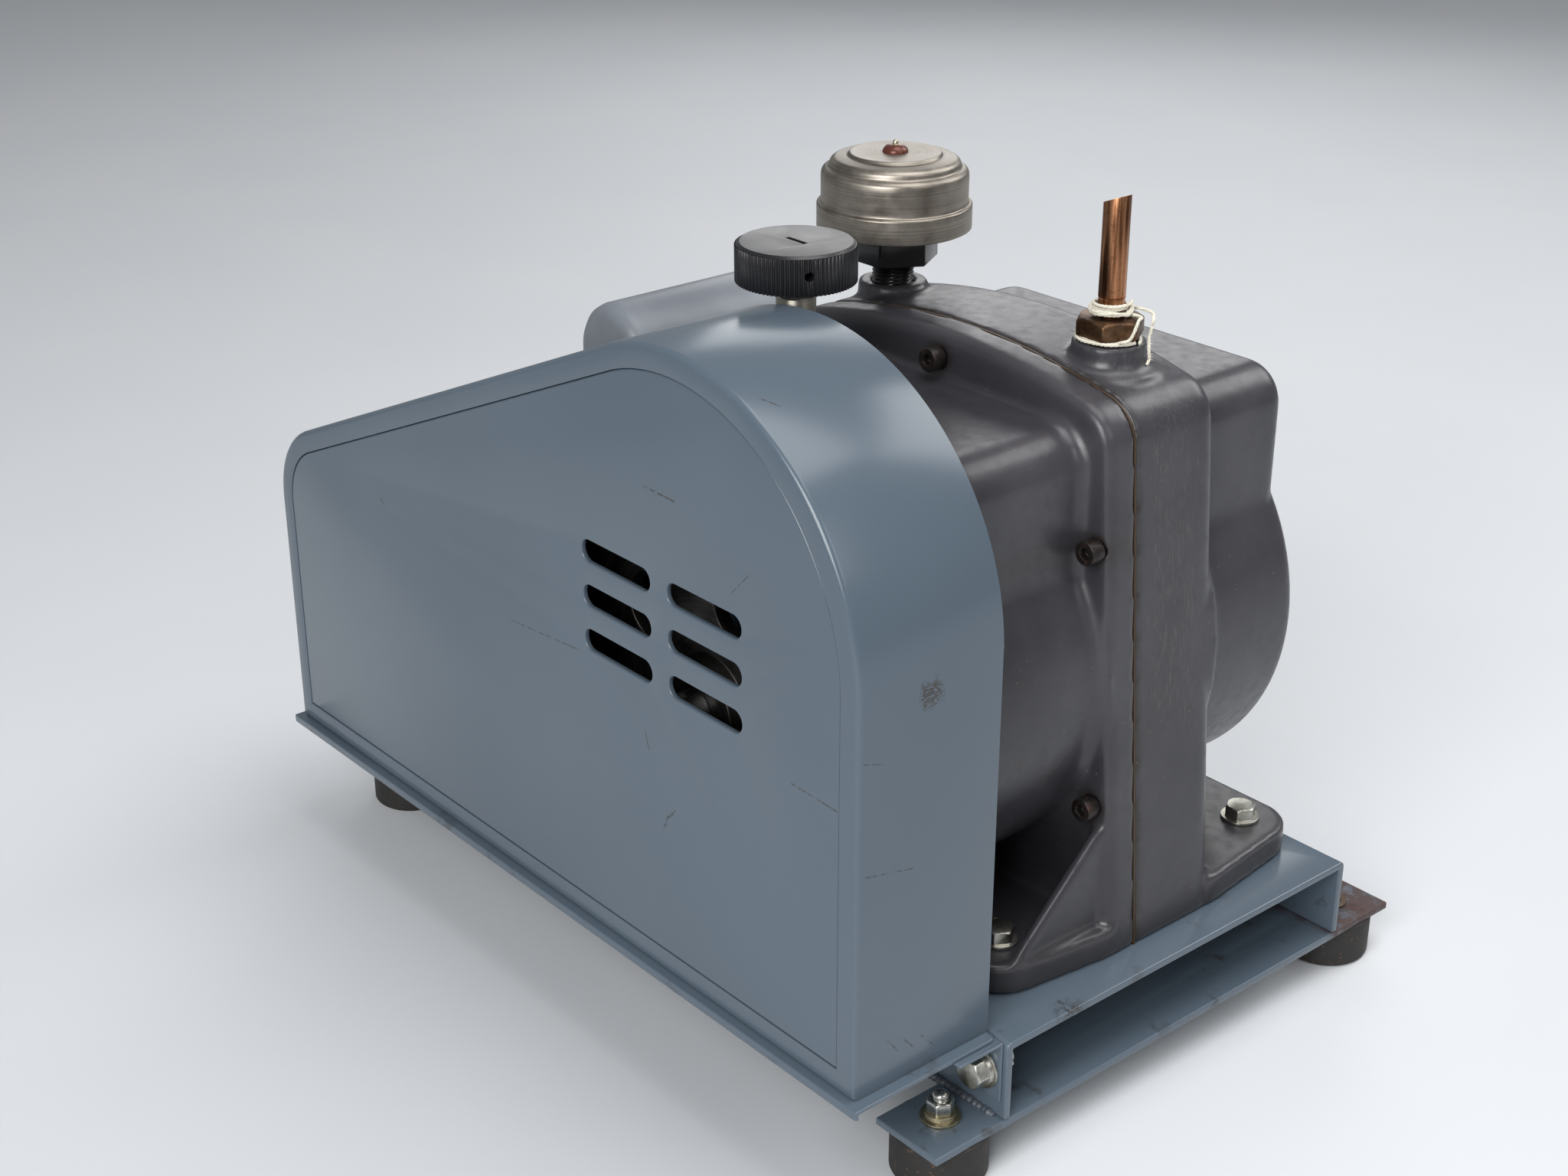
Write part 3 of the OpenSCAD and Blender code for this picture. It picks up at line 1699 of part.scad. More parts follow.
// Profile of an end bell: radius and depth from the shell outwards
module bell_profile() {
  r = motor_d / 2;
  union() {
    square([r, 8]);
    square([r - 12, bell_t - 6]);
    translate([0, 8])
      polygon([[r, 0], [r - 5, 8], [r - 20, bell_t - 14], [0, bell_t - 14], [0, 0]]);
    square([34, bell_t]);
  }
}

// End bell on the XY plane with its bearing pocket and air slots
module bell() {
  difference() {
    rotate_extrude()
      bell_profile();
    translate([0, 0, -eps])
      rotate_extrude()
        square([stator_r - 8, bell_t - 14]);
    translate([0, 0, -eps])
      cylinder(h = bell_t + 1, d = motor_shaft_d + 2 * run_gap);
    for (a = [0 : 45 : 315])
      rotate([0, 0, a + 22.5])
        translate([48, 0, bell_t - 18])
          linear_extrude(30)
            union() {
              square([16, 9], center = true);
              translate([8, 0])
                circle(4.5);
              translate([-8, 0])
                circle(4.5);
            }
  }
}

module motor_front_bell() {
  color(light_grey)
  translate([motor_x, shell_y, motor_z])
    rotate([90, 0, 0])
      bell();
}

module motor_rear_bell() {
  color(light_grey)
  translate([motor_x, shell_end_y, motor_z])
    rotate([-90, 0, 0])
      bell();
}

module motor_stator() {
  y0 = shell_y + 40;
  y1 = shell_end_y - 40;
  coil = 22;
  color(copper)
  translate([motor_x, 0, motor_z])
    difference() {
      union() {
        rod_y(2 * stator_r, y0, y1);
        rod_y(2 * stator_r - 24, y0 - coil, y1 + coil);
      }
      rod_y(2 * core_r + 1.2, y0 - coil - eps, y1 + coil + eps);
    }
}

module motor_rotor() {
  y0 = shell_y + 40;
  y1 = shell_end_y - 40;
  color(steel)
  translate([motor_x, 0, motor_z]) {
    rod_y(motor_shaft_d, belt_y - 18, bell2_end_y - 3);
    rod_y(2 * core_r, y0, y1);
    for (a = [0 : 30 : 330])
      rotate([0, a, 0])
        translate([core_r - 14, y1 - 1, -1.2])
          cube([12, 13, 2.4]);
  }
}

module capacitor_cover() {
  edge = 9;
  skin = 1.5;
  r = cap_w / 2;
  top = cap_rise;
  color(light_grey)
  translate([motor_x, 0, motor_z])
    difference() {
      hull()
        for (z = [top - r, 70])
          translate([0, 0, z])
            turned_at(cap_y, r, cap_len, edge);
      hull()
        for (z = [top - r, 60])
          translate([0, 0, z])
            turned_at(cap_y + skin, r - skin, cap_len - 2 * skin, edge - skin);
      rod_y(motor_d, cap_y - 10, cap_y + cap_len + 10);
    }
}

// Round bar along Y with both of its edges softened
module turned_at(y, r, l, edge) {
  translate([0, y, 0])
    rotate([-90, 0, 0])
      rotate_extrude($fn = 48)
        polygon(concat(
          [[0, 0]],
          [for (a = [0 : 30 : 90]) [r - edge + edge * sin(a), edge - edge * cos(a)]],
          [for (a = [0 : 30 : 90]) [r - edge + edge * cos(a), l - edge + edge * sin(a)]],
          [[0, l]]
        ));
}

module capacitor() {
  color([0.25, 0.26, 0.28])
  translate([motor_x, 0, motor_z + motor_d / 2 + cap_can_d / 2 + fit_gap])
    rod_y(cap_can_d, cap_y + 12, cap_y + cap_len - 22);
}

module motor_cradle() {
  sheet = 4;
  post = 6;
  color(slate)
  difference() {
    union() {
      translate([motor_x - cradle_half, cradle_y1, base_top])
        cube([2 * cradle_half, cradle_y2 - cradle_y1, sheet]);
      for (y = [cradle_y1, cradle_y2 - post])
        translate([motor_x, 0, 0])
          slab_y(y, y + post)
            translate([0, base_top])
              polygon([
                [-cradle_half, 0], [cradle_half, 0],
                [cradle_half - 10, 60], [10 - cradle_half, 60]
              ]);
    }
    translate([motor_x, 0, motor_z])
      rod_y(motor_d + fit_gap, cradle_y1 - eps, cradle_y2 + eps);
    at_motor_bolts()
      translate([0, 0, base_top - eps])
        cylinder(h = 12, d = 8 + hole_gap);
  }
}

module motor_bolts() {
  color(zinc)
  at_motor_bolts() {
    translate([0, 0, base_top + 4])
      washer(17, 8 + hole_gap, 1.6);
    translate([0, 0, base_top + 5.6])
      hex_body(13, 5.3);
    translate([0, 0, base_top - base_t - 11])
      cylinder(h = base_t + 17, d = 8);
    translate([0, 0, base_top - base_t - 6.5])
      difference() {
        hex_prism(13, 6.5);
        translate([0, 0, -eps])
          cylinder(h = 8, d = 8);
      }
  }
}

module motor_pulley() {
  color(iron)
  translate([motor_x, belt_y, motor_z])
    difference() {
      union() {
        turned_y()
          rim_section(motor_pitch_r, 0, 9.5);
        rod_y(2 * hub_r - 8, 9, 24);
      }
      rod_y(motor_shaft_d + fit_gap, -10, 25);
      translate([0, 17, 0])
        cylinder(h = 30, d = 6);
    }
}

// Places where the belt has a cross section: centre, pitch radius and angle, once round
belt_places = concat(
  [for (i = [0 : 52])
    [pump_x, pump_z, pump_pitch_r, belt_tilt - belt_open + 2 * belt_open * i / 52]],
  [for (i = [0 : 20])
    [motor_x, motor_z, motor_pitch_r,
      belt_tilt + belt_open + (360 - 2 * belt_open) * i / 20]]
);

module v_belt() {
  back = 2.5;
  half = belt_w / 2;
  inner_half = half - belt_t * tan(19);
  section = [[back, -half], [back, half], [back - belt_t, inner_half],
    [back - belt_t, -inner_half]];
  n = len(belt_places);
  points = [for (p = belt_places, c = section)
    [p[0] + (p[2] + c[0]) * cos(p[3]), belt_y + c[1], p[1] + (p[2] + c[0]) * sin(p[3])]];
  faces = [for (i = [0 : n - 1], k = [0 : 3])
    let (a = i * 4, b = (i + 1) % n * 4, m = (k + 1) % 4)
    [a + k, b + k, b + m, a + m]];
  color(black)
  polyhedron(points, faces);
}

base_channel();
cross_plates();
rubber_feet();
foot_studs();
foot_nuts();
foot_washers();
guard_rim();
guard_face();
guard_back();
guard_tray();
guard_brackets();
guard_bolts();
front_casting();
case_gasket();
rear_casting();
cover_screws();
pump_foot_bolts();
seal_housing();
oil_seal();
seal_screws();
pump_shaft();
intake_rotor();
vanes();
vane_springs();
pump_pulley();
pulley_setscrew();
front_plate();
exhaust_ring();
centre_plate();
intake_ring();
rear_plate();
stage_bolts();
intake_duct();
exhaust_valve();
intake_bushing();
intake_tube();
sealing_thread();
exhaust_nipple();
exhaust_nut();
dome_pan();
dome_cover();
dome_screw();
ballast_stem();
ballast_poppet();
ballast_knob();
knob_setscrew();
sight_glass();
sight_bezel();
drain_plug();
motor_shell();
motor_front_bell();
motor_rear_bell();
motor_stator();
motor_rotor();
capacitor_cover();
capacitor();
motor_cradle();
motor_bolts();
motor_pulley();
v_belt();
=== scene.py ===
# %% [markdown]
# # A belt drive vacuum pump, one piece at a time
# This lesson dresses the engineering model of a laboratory vacuum pump. The model comes in as a
# fixed frame of solids. Each visible piece is then built again with the soft edges, casting
# blends and wear of the real machine, and every solid that stays gets a procedural finish.

# %% Load the frame
import json
import math
from functools import reduce

import bpy
import numpy as np
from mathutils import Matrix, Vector


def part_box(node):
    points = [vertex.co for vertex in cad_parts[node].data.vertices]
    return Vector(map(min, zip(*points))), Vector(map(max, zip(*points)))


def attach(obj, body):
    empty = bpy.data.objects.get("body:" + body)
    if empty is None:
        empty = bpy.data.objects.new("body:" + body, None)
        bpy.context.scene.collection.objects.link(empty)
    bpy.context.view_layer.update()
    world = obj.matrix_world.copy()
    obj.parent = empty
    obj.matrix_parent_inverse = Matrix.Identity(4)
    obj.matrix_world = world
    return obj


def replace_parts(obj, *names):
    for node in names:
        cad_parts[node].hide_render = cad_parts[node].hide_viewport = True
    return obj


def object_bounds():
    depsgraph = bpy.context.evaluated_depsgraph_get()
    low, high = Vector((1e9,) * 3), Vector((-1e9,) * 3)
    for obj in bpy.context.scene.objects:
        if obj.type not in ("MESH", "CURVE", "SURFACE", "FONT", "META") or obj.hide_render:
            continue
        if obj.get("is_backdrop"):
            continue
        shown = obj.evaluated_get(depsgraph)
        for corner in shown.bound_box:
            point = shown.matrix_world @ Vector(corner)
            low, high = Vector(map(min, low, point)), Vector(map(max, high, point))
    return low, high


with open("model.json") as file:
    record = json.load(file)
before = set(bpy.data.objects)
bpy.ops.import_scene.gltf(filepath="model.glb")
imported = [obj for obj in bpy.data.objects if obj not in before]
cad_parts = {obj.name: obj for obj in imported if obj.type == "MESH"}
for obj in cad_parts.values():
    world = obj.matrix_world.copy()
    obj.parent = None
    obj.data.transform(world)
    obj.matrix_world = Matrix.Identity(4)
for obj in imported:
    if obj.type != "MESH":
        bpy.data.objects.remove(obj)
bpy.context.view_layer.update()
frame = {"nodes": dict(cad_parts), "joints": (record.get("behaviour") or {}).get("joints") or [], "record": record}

print("solids in the frame:", len(frame["nodes"]))

# %% [markdown]
# ## Small tools
# An operator acts on everything that is selected, so each step first selects only its own pieces.
# Sizes are written in millimetres, as on a workshop drawing, and turned into metres once.

# %% Helpers for selection, sizes and modifiers
MM = 0.001


def put(name, data, place=(0, 0, 0), ahead=None):
    """Adds an object to the scene, at a place in metres, that looks along a direction."""
    thing = bpy.data.objects.new(name, data)
    bpy.context.scene.collection.objects.link(thing)
    thing.location = place
    if ahead:
        thing.rotation_mode = "QUATERNION"
        thing.rotation_quaternion = ahead.to_track_quat("-Z", "Y")
    return thing


def pick(*pieces):
    """Selects these pieces and nothing else, with the first one active."""
    if bpy.context.mode != "OBJECT":
        bpy.ops.object.mode_set(mode="OBJECT")
    bpy.ops.object.select_all(action="DESELECT")
    for piece in pieces:
        piece.select_set(True)
    if pieces:
        bpy.context.view_layer.objects.active = pieces[0]


def join(pieces):
    pick(*pieces)
    bpy.ops.object.join()
    return pieces[0]


def repeat(piece, moves):
    """Joins a piece with copies of it, each moved by (x, y, z) in millimetres."""
    pieces = [piece]
    for move in moves:
        pick(piece)
        bpy.ops.object.duplicate_move(TRANSFORM_OT_translate={"value": [v * MM for v in move]})
        pieces.append(bpy.context.object)
    return join(pieces)


def modify(piece, kind, **settings):
    """Adds a modifier, sets it and applies it."""
    pick(piece)
    modifier = piece.modifiers.new(kind.lower(), kind)
    for key, value in settings.items():
        setattr(modifier, key, value)
    bpy.ops.object.modifier_apply(modifier=modifier.name)


def close_up():
    """In edit mode, merges doubled points, fills open ends and turns the faces outwards."""
    bpy.ops.mesh.select_all(action="SELECT")
    bpy.ops.mesh.remove_doubles(threshold=0.000002)
    bpy.ops.mesh.select_all(action="DESELECT")
    bpy.ops.mesh.select_non_manifold()
    bpy.ops.mesh.edge_face_add()
    bpy.ops.mesh.select_all(action="SELECT")
    bpy.ops.mesh.normals_make_consistent(inside=False)
    bpy.ops.object.mode_set(mode="OBJECT")


def limits(node):
    """Lowest and highest corner of a solid, in millimetres."""
    return [[float(v) / MM for v in corner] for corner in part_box(node)]


def middle(node):
    return [(a + b) / 2 for a, b in zip(*limits(node))]


def joint_axis(name):
    """Where a joint's axis crosses the plane of x and z, in millimetres."""
    x, _, z = next(joint for joint in frame["joints"] if joint["name"] == name)["pos_m"]
    return x / MM, z / MM


# %% [markdown]
# ## The camera
# The photograph looks at the belt guard from the right and from above. The place of the camera
# was worked out from the perspective of the long edges of the base and the guard.

# %% Camera at the photograph's angle
lens = bpy.data.cameras.new("camera")
lens.lens = 52.61
lens.sensor_width = 36
camera = put("camera", lens, (0.8444, -0.7376, 0.6935), Vector((-0.694, 0.588, -0.4155)))
bpy.context.scene.camera = camera
bpy.context.scene.view_settings.view_transform = "Standard"
print("camera at", tuple(round(v, 3) for v in camera.location))

# %% [markdown]
# ## Shader maths as plain expressions
# A material is easier to read when its maths is written as maths. The class below holds one
# socket, and each operation on it adds a Math node. Every other node comes from one method.

# %% A socket that can be added, multiplied and compared


class Value:
    def __init__(self, finish, socket):
        self.finish, self.socket = finish, socket

    def _adds(operation, swapped=False):
        def work(self, *others):
            values = (*others, self) if swapped else (self, *others)
            return self.finish.node("Math", {"operation": operation}, values)
        return work

    __add__ = __radd__ = _adds("ADD")
    __mul__ = __rmul__ = _adds("MULTIPLY")
    __sub__, __rsub__ = _adds("SUBTRACT"), _adds("SUBTRACT", swapped=True)
    __pow__, root = _adds("POWER"), _adds("SQRT")
    least, most = _adds("MINIMUM"), _adds("MAXIMUM")
    size, wave = _adds("ABSOLUTE"), _adds("SINE")


# %% A material with one method that adds any node
finishes = {}


def linear(colour):
    """A colour as it is read from a screen, from 0 to 255, made linear for the shader."""
    return *(v / 255 / 12.92 if v < 10.3 else ((v / 255 + 0.055) / 1.055) ** 2.4
             for v in colour), 1


class Finish:
    """A procedural material. Places are read in millimetres from Object coordinates."""

    def __init__(self, name):
        print("finish:", name)
        finishes[name] = material = bpy.data.materials.new(name)
        material.use_nodes = True
        self.tree = material.node_tree
        self.tree.nodes.clear()
        self.shader = self.tree.nodes.new("ShaderNodeBsdfPrincipled")
        output = self.tree.nodes.new("ShaderNodeOutputMaterial")
        self.tree.links.new(self.shader.outputs[0], output.inputs[0])
        self.place = self.vector("SCALE", {"Vector": self.node("TexCoord", out="Object"),
                                           "Scale": 1 / MM})
        self.x, self.y, self.z = (self.node("SeparateXYZ", {}, [self.place], out=axis)
                                  for axis in "XYZ")

    def node(self, kind, settings=None, values=(), out=0):
        """Adds a node, sets it, and gives each of its sockets a value or a link."""
        made = self.tree.nodes.new("ShaderNode" + kind)
        for key, setting in (settings or {}).items():
            setattr(made, key, setting)
        for key, value in values.items() if isinstance(values, dict) else enumerate(values):
            self.feed(made.inputs[key], value)
        return Value(self, made.outputs[out])

    def feed(self, socket, value):
        if isinstance(value, Value):
            self.tree.links.new(value.socket, socket)
        else:
            socket.default_value = linear(value) if socket.type == "RGBA" else value

    def vector(self, operation, values, out=0):
        return self.node("VectorMath", {"operation": operation}, values, out)

    def set(self, **sockets):
        for key, value in sockets.items():
            self.feed(self.shader.inputs[key.replace("_", " ")], value)

    # patterns that most finishes share

    def noise(self, scale, detail=3.0, roughness=0.5, place=None):
        """Fractal noise with scale given as spots per millimetre."""
        return self.node("TexNoise", {}, {"Vector": place or self.place, "Scale": scale,
                                          "Detail": detail, "Roughness": roughness})

    def cells(self, scale):
        """Distance to the nearest of many scattered points."""
        return self.node("TexVoronoi", {"feature": "F1"},
                         {"Vector": self.place, "Scale": scale}, out="Distance")

    def stretched(self, x, y, z):
        """Place with each axis scaled, for patterns that run along one way."""
        return self.vector("MULTIPLY", [self.place, (x, y, z)])

    def step(self, value, low, high):
        """Smooth step from 0 at low to 1 at high."""
        return self.node("MapRange", {"interpolation_type": "SMOOTHSTEP"},
                         {"Value": value, "From Min": low, "From Max": high})

    def blend(self, share, first, second):
        """Colour between two others."""
        return self.node("Mix", {"data_type": "RGBA"}, {0: share, 6: first, 7: second}, out=2)

    def bump(self, height, distance, strength, under=None):
        """Relief with its height given in millimetres."""
        values = {"Height": height, "Distance": distance * MM, "Strength": strength}
        if under is not None:
            values["Normal"] = under
        return self.node("Bump", {}, values)

    def scratch(self, start, end, width):
        """Mask of one straight scratch between two points, in millimetres."""
        along = Vector(end) - Vector(start)
        offset = self.vector("SUBTRACT", [self.place, start])
        reach = self.vector("DOT_PRODUCT", [offset, along / along.length_squared], out="Value")
        foot = self.vector("SCALE", {"Vector": along, "Scale": reach.most(0.0).least(1.0)})
        gap = self.vector("DISTANCE", [offset, foot], out="Value")
        return self.step(gap, width, width * 0.35)


def hypotenuse(a, b):
    return (a ** 2.0 + b ** 2.0).root()


# %% [markdown]
# ## Where the machine stands
# A plain pale floor and a few large soft lamps. The lamps are large so that gloss paint shows
# long soft reflections, as it does in the photograph, and no colour burns out.

# %% Floor
pick()
bpy.ops.mesh.primitive_plane_add(size=14)
floor = bpy.context.object
floor.name = "floor"
pale = Finish("pale_floor")
pale.set(Base_Color=pale.blend(pale.noise(0.004), (203.42, 206.41, 209.35),
                               (212.23, 213.65, 216.46)), Roughness=0.62)
floor.data.materials.append(finishes["pale_floor"])
floor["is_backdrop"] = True

# %% Lamps and world
for name, place, aim, size, watts in (
        ("key", (1.0, -1.9, 1.35), (0, -0.05, 0.2), 1.3, 50),
        ("right", (2.0, 0.25, 1.5), (0.1, 0, 0.2), 0.9, 6),
        ("top", (0.5, 0.2, 2.2), (0, 0, 0.2), 1.4, 24),
        ("back", (-1.5, 1.7, 1.2), (0, 0, 0.25), 1.2, 9),
        ("behind", (0.5, 1.9, 1.7), (0.2, 0, 0.25), 1.2, 19)):
    lamp = bpy.data.lights.new(name, "AREA")
    lamp.size = size
    lamp.energy = watts
    put(name, lamp, place, Vector(aim) - Vector(place))
world = bpy.data.worlds.new("studio")
world.use_nodes = True
background = world.node_tree.nodes["Background"].inputs
background[0].default_value = (0.64, 0.66, 0.69, 1)
background[1].default_value = 0.40
bpy.context.scene.world = world
print("lamps:", len(bpy.data.lights))

# %% [markdown]
# ## Paints
# The guard and the base are sprayed in a slate blue semi gloss. Spray paint is never quite flat:
# it has a fine orange peel, a faint cloudiness, and it carries the marks of use. The marks are
# placed in millimetres on the guard, so they stay where they are from every side.

# %% Slate blue paint
SLATE_LIGHT, SLATE_DARK = (84, 96, 107), (77, 89, 100)
GRIME, RUST = (50, 46, 41), (84, 50, 30)


def slate_paint(name, scratches=(), smudges=(), dirt=0.35, rust_behind=None):
    paint = Finish(name)
    speck = paint.noise(0.9, 2, 0.6)
    colour = paint.blend(paint.step(paint.noise(0.005, 3, 0.45), 0.25, 0.75), SLATE_DARK,
                         SLATE_LIGHT)
    colour = paint.blend(paint.step(speck, 0.62, 0.8) * 0.22, colour, SLATE_LIGHT)
    low = paint.step(paint.z + paint.noise(0.05, 4) * 30, 105, 72)
    dirty = low * paint.step(paint.noise(0.045, 6, 0.62), 0.58, 0.7)
    colour = paint.blend(dirty * dirt, colour, GRIME)
    if scratches:
        mark = reduce(Value.most, [paint.scratch(*one) for one in scratches])
        broken = paint.step(paint.noise(0.35), 0.4, 0.55)
        colour = paint.blend(mark * broken * 0.9, colour, GRIME)
    for centre, radius in smudges:
        away = paint.vector("DISTANCE", [paint.place, centre], out="Value")
        rub = paint.step(away + paint.noise(0.25, 4) * radius * 1.3, radius * 1.75, radius * 1.1)
        grain = paint.step(paint.noise(0.5, place=paint.stretched(0.5, 1, 2.2)), 0.38, 0.55)
        colour = paint.blend(rub * grain * 0.95, colour, GRIME)
    rough = paint.step(speck, 0.2, 0.8) * 0.04 + 0.2 + dirty * 0.2
    if rust_behind:
        back = paint.step(paint.y + paint.noise(0.12, 4) * 16, rust_behind, rust_behind + 12)
        eaten = paint.step(paint.noise(0.1, 6, 0.7), 0.3, 0.5) * back
        flake = paint.blend(paint.noise(0.5, 4, 0.7), (26, 20, 18), (88, 48, 34))
        colour = paint.blend(eaten * 0.85, colour, flake)
        rough = rough + eaten * 0.35
    ripple = paint.bump(paint.noise(0.03, 2, 0.4), 0.25, 0.25)
    peel = paint.bump(paint.noise(0.42, 2, 0.4), 0.01, 0.15, under=ripple)
    paint.set(Base_Color=colour, Roughness=rough, Normal=peel)


# the marks are (x, z) to (x, z) on the face, and (y, z) to (y, z) on the right side of the rim
FACE_Y, RIM_X = -185.8, 240.0
face_marks = [((x0, FACE_Y, z0), (x1, FACE_Y, z1), width) for x0, z0, x1, z1, width in (
    (98, 319.2, 120, 318.8, 0.7), (-14, 214.4, 45, 219.6, 0.45), (198, 213.9, 231, 213, 0.55),
    (106, 149, 110, 158, 0.8), (110, 158, 116, 164, 0.8), (94, 199, 97, 188, 0.45),
    (157, 287.5, 170, 301, 0.4), (-131, 242, -127.5, 238.7, 0.7))]
rim_marks = [((RIM_X, y0, z0), (RIM_X, y1, z1), width) for y0, z0, y1, z1, width in (
    (-180.4, 184.9, -153.2, 178.8, 0.45), (-166, 96, -160, 88, 0.5), (-156, 92, -149, 84, 0.5),
    (-146, 90, -139, 82, 0.4), (-184, 240, -172, 236, 0.35))]
rim_marks.append(((165.6, -175.9, 376), (172, -170, 373), 0.6))
slate_paint("slate_paint_face", face_marks)
slate_paint("slate_paint_rim", rim_marks, [((RIM_X, -145.5, 260), 8.0)])
slate_paint("slate_paint_base", (), [((252, -60, 60), 14.0)], dirt=0.7)
slate_paint("slate_paint_plates", dirt=0.7, rust_behind=143.0)
print("slate paint with", len(face_marks) + len(rim_marks), "marks")

# %% [markdown]
# ## Case paint
# The two castings are painted a dark warm grey over a rough surface, so the orange peel is
# coarser. Oil creeps out of the joint and past the screws and leaves brown stains there.

# %% Where the joint and its screws are
seam_y = middle("case_gasket")[1]
case_foot = limits("case_gasket")[0][2]
pump_x, pump_z = joint_axis("pump_spin")
screw_places = [(pump_x + x, case_foot + z) for x, z in
                ((0.6, 272.5), (106, 208), (113, 78), (-106, 208), (-113, 78))]

# %% Dark grey case paint
CASE_LIGHT, CASE_DARK, OIL = (61, 60, 65), (47, 46, 50), (38, 32, 24)
paint = Finish("case_paint")
mottle = paint.noise(0.16, 4, 0.6)
colour = paint.blend(paint.step(paint.noise(0.012, 5, 0.6), 0.3, 0.7), CASE_DARK, CASE_LIGHT)
colour = paint.blend(paint.step(mottle, 0.5, 0.78) * 0.3, colour, CASE_DARK)
creep = paint.step((paint.y - seam_y).size() + paint.noise(0.09, 4) * 9, 9.5, 3.2)
colour = paint.blend(creep * 0.85, colour, OIL)
in_front = paint.step(paint.y, seam_y, -6.0)
for x, z in screw_places:
    reach = hypotenuse(paint.x - x, paint.z - z)
    ring = paint.step(reach + paint.noise(0.2) * 9, 17, 10)
    colour = paint.blend(ring * in_front * 0.5, colour, OIL)
foot = paint.step(paint.z + paint.noise(0.06, 4) * 36, 118, 84)
colour = paint.blend(foot * 0.35, colour, GRIME)

# %% Chips and scuffs in the case paint
chips = paint.step(paint.cells(0.17), 0.1, 0.06) * paint.step(paint.noise(0.016), 0.5, 0.62)
colour = paint.blend(chips * 0.7, colour, (112, 88, 66))
rubbed = paint.step(paint.y, seam_y + 3, seam_y + 14)
rubbed = rubbed * paint.step(paint.y, seam_y + 52, seam_y + 36)
rubbed = rubbed * paint.step(paint.z + paint.noise(0.03) * 90, 190, 250)
scuffs = paint.noise(0.9, 4, 0.7, place=paint.stretched(1, 1, 0.1))
colour = paint.blend(paint.step(scuffs, 0.5, 0.68) * rubbed * 0.3, colour, (104, 100, 92))
sand = paint.bump(paint.noise(0.055), 0.35, 0.35)
paint.set(Base_Color=colour, Roughness=paint.step(mottle, 0.3, 0.8) * 0.12 + 0.29 - creep * 0.06,
          Normal=paint.bump(paint.noise(0.5, 2, 0.45), 0.04, 0.35, under=sand))
print("case paint with", len(screw_places), "oily screws")

# %% Plain paint of the motor and its capacitor
for name, light, dark, dust in (("motor_paint", (116, 121, 128), (102, 107, 114), 0.15),
                                ("can_paint", (86, 90, 96), (72, 76, 82), 0.1)):
    paint = Finish(name)
    speck = paint.noise(1.1, 3, 0.6)
    colour = paint.blend(paint.step(paint.noise(0.02, 4, 0.55), 0.3, 0.7), dark, light)
    colour = paint.blend(paint.step(speck, 0.6, 0.75) * dust, colour, (170, 168, 162))
    paint.set(Base_Color=colour, Roughness=paint.step(speck, 0.3, 0.8) * 0.12 + 0.36,
              Normal=paint.bump(paint.noise(0.5, 2), 0.05, 0.45))

# %% [markdown]
# ## Metals
# Bare metals are told apart by the marks of how they were made. Turned pieces carry rings about
# their own axis, so the pattern is drawn on the distance from that axis. Plated hardware is
# cloudy and a little dull, and what stands in the wet at the back has begun to rust.

# %% Turned metal, ringed about its axis


def turned_metal(name, light, dark, rough, centre, lying=False, rings=2.2, depth=0.012):
    """Rings about an upright axis at (x, y), or about one that lies along y at (x, z)."""
    metal = Finish(name)
    across, along = (metal.z, metal.y) if lying else (metal.y, metal.z)
    first, second = metal.x - centre[0], across - centre[1]
    spot = metal.node("CombineXYZ", {},
                      [hypotenuse(first, second) * rings, along * rings, first * 0.02])
    lines = metal.noise(1.0, 4, 0.6, place=spot)
    cloud = metal.noise(0.06, 4, 0.6)
    colour = metal.blend(metal.step(lines * 0.5 + cloud * 0.5, 0.35, 0.65), dark, light)
    metal.set(Base_Color=colour, Metallic=1.0,
              Roughness=metal.step(cloud, 0.3, 0.75) * 0.14 + lines * 0.08 + rough,
              Normal=metal.bump(lines, depth, 0.5))


dome_centre = middle("dome_cover")
knob_centre = middle("ballast_knob")
shaft_centre = (pump_x, pump_z)
turned_metal("nickel_dome", (160, 153, 143), (122, 115, 106), 0.31, dome_centre, rings=1.6)
turned_metal("nickel_stem", (176, 172, 162), (132, 126, 114), 0.26, knob_centre)
turned_metal("pulley_iron", (96, 94, 92), (52, 50, 48), 0.36, shaft_centre, lying=True,
             rings=1.4, depth=0.03)
turned_metal("shaft_steel", (190, 191, 192), (150, 151, 152), 0.22, shaft_centre, lying=True,
             rings=3.0)

# %% Plated, blackened and cast metals


def cloudy_metal(name, light, dark, rough, stain=None, share=0.0, metallic=1.0, grain=0.3,
                 rust_behind=None):
    metal = Finish(name)
    fine = metal.noise(1.3, 3, 0.6)
    colour = metal.blend(metal.step(metal.noise(0.12, 5, 0.65), 0.3, 0.7), dark, light)
    shine = 1.0
    if stain:
        spread = metal.step(metal.noise(0.3, 5, 0.7), 0.62 - 0.3 * share, 0.8 - 0.3 * share)
        colour = metal.blend(spread * (share * 1.6), colour, stain)
        shine = 1.0 - spread * share
    if rust_behind:
        eaten = metal.step(metal.y, rust_behind, rust_behind + 20)
        colour = metal.blend(eaten * 0.9, colour, metal.blend(fine, (38, 24, 18), RUST))
        shine = shine * (1.0 - eaten * 0.85)
    metal.set(Base_Color=colour, Metallic=shine * metallic,
              Roughness=metal.step(fine, 0.25, 0.8) * 0.16 + rough,
              Normal=metal.bump(fine, 0.02, grain))


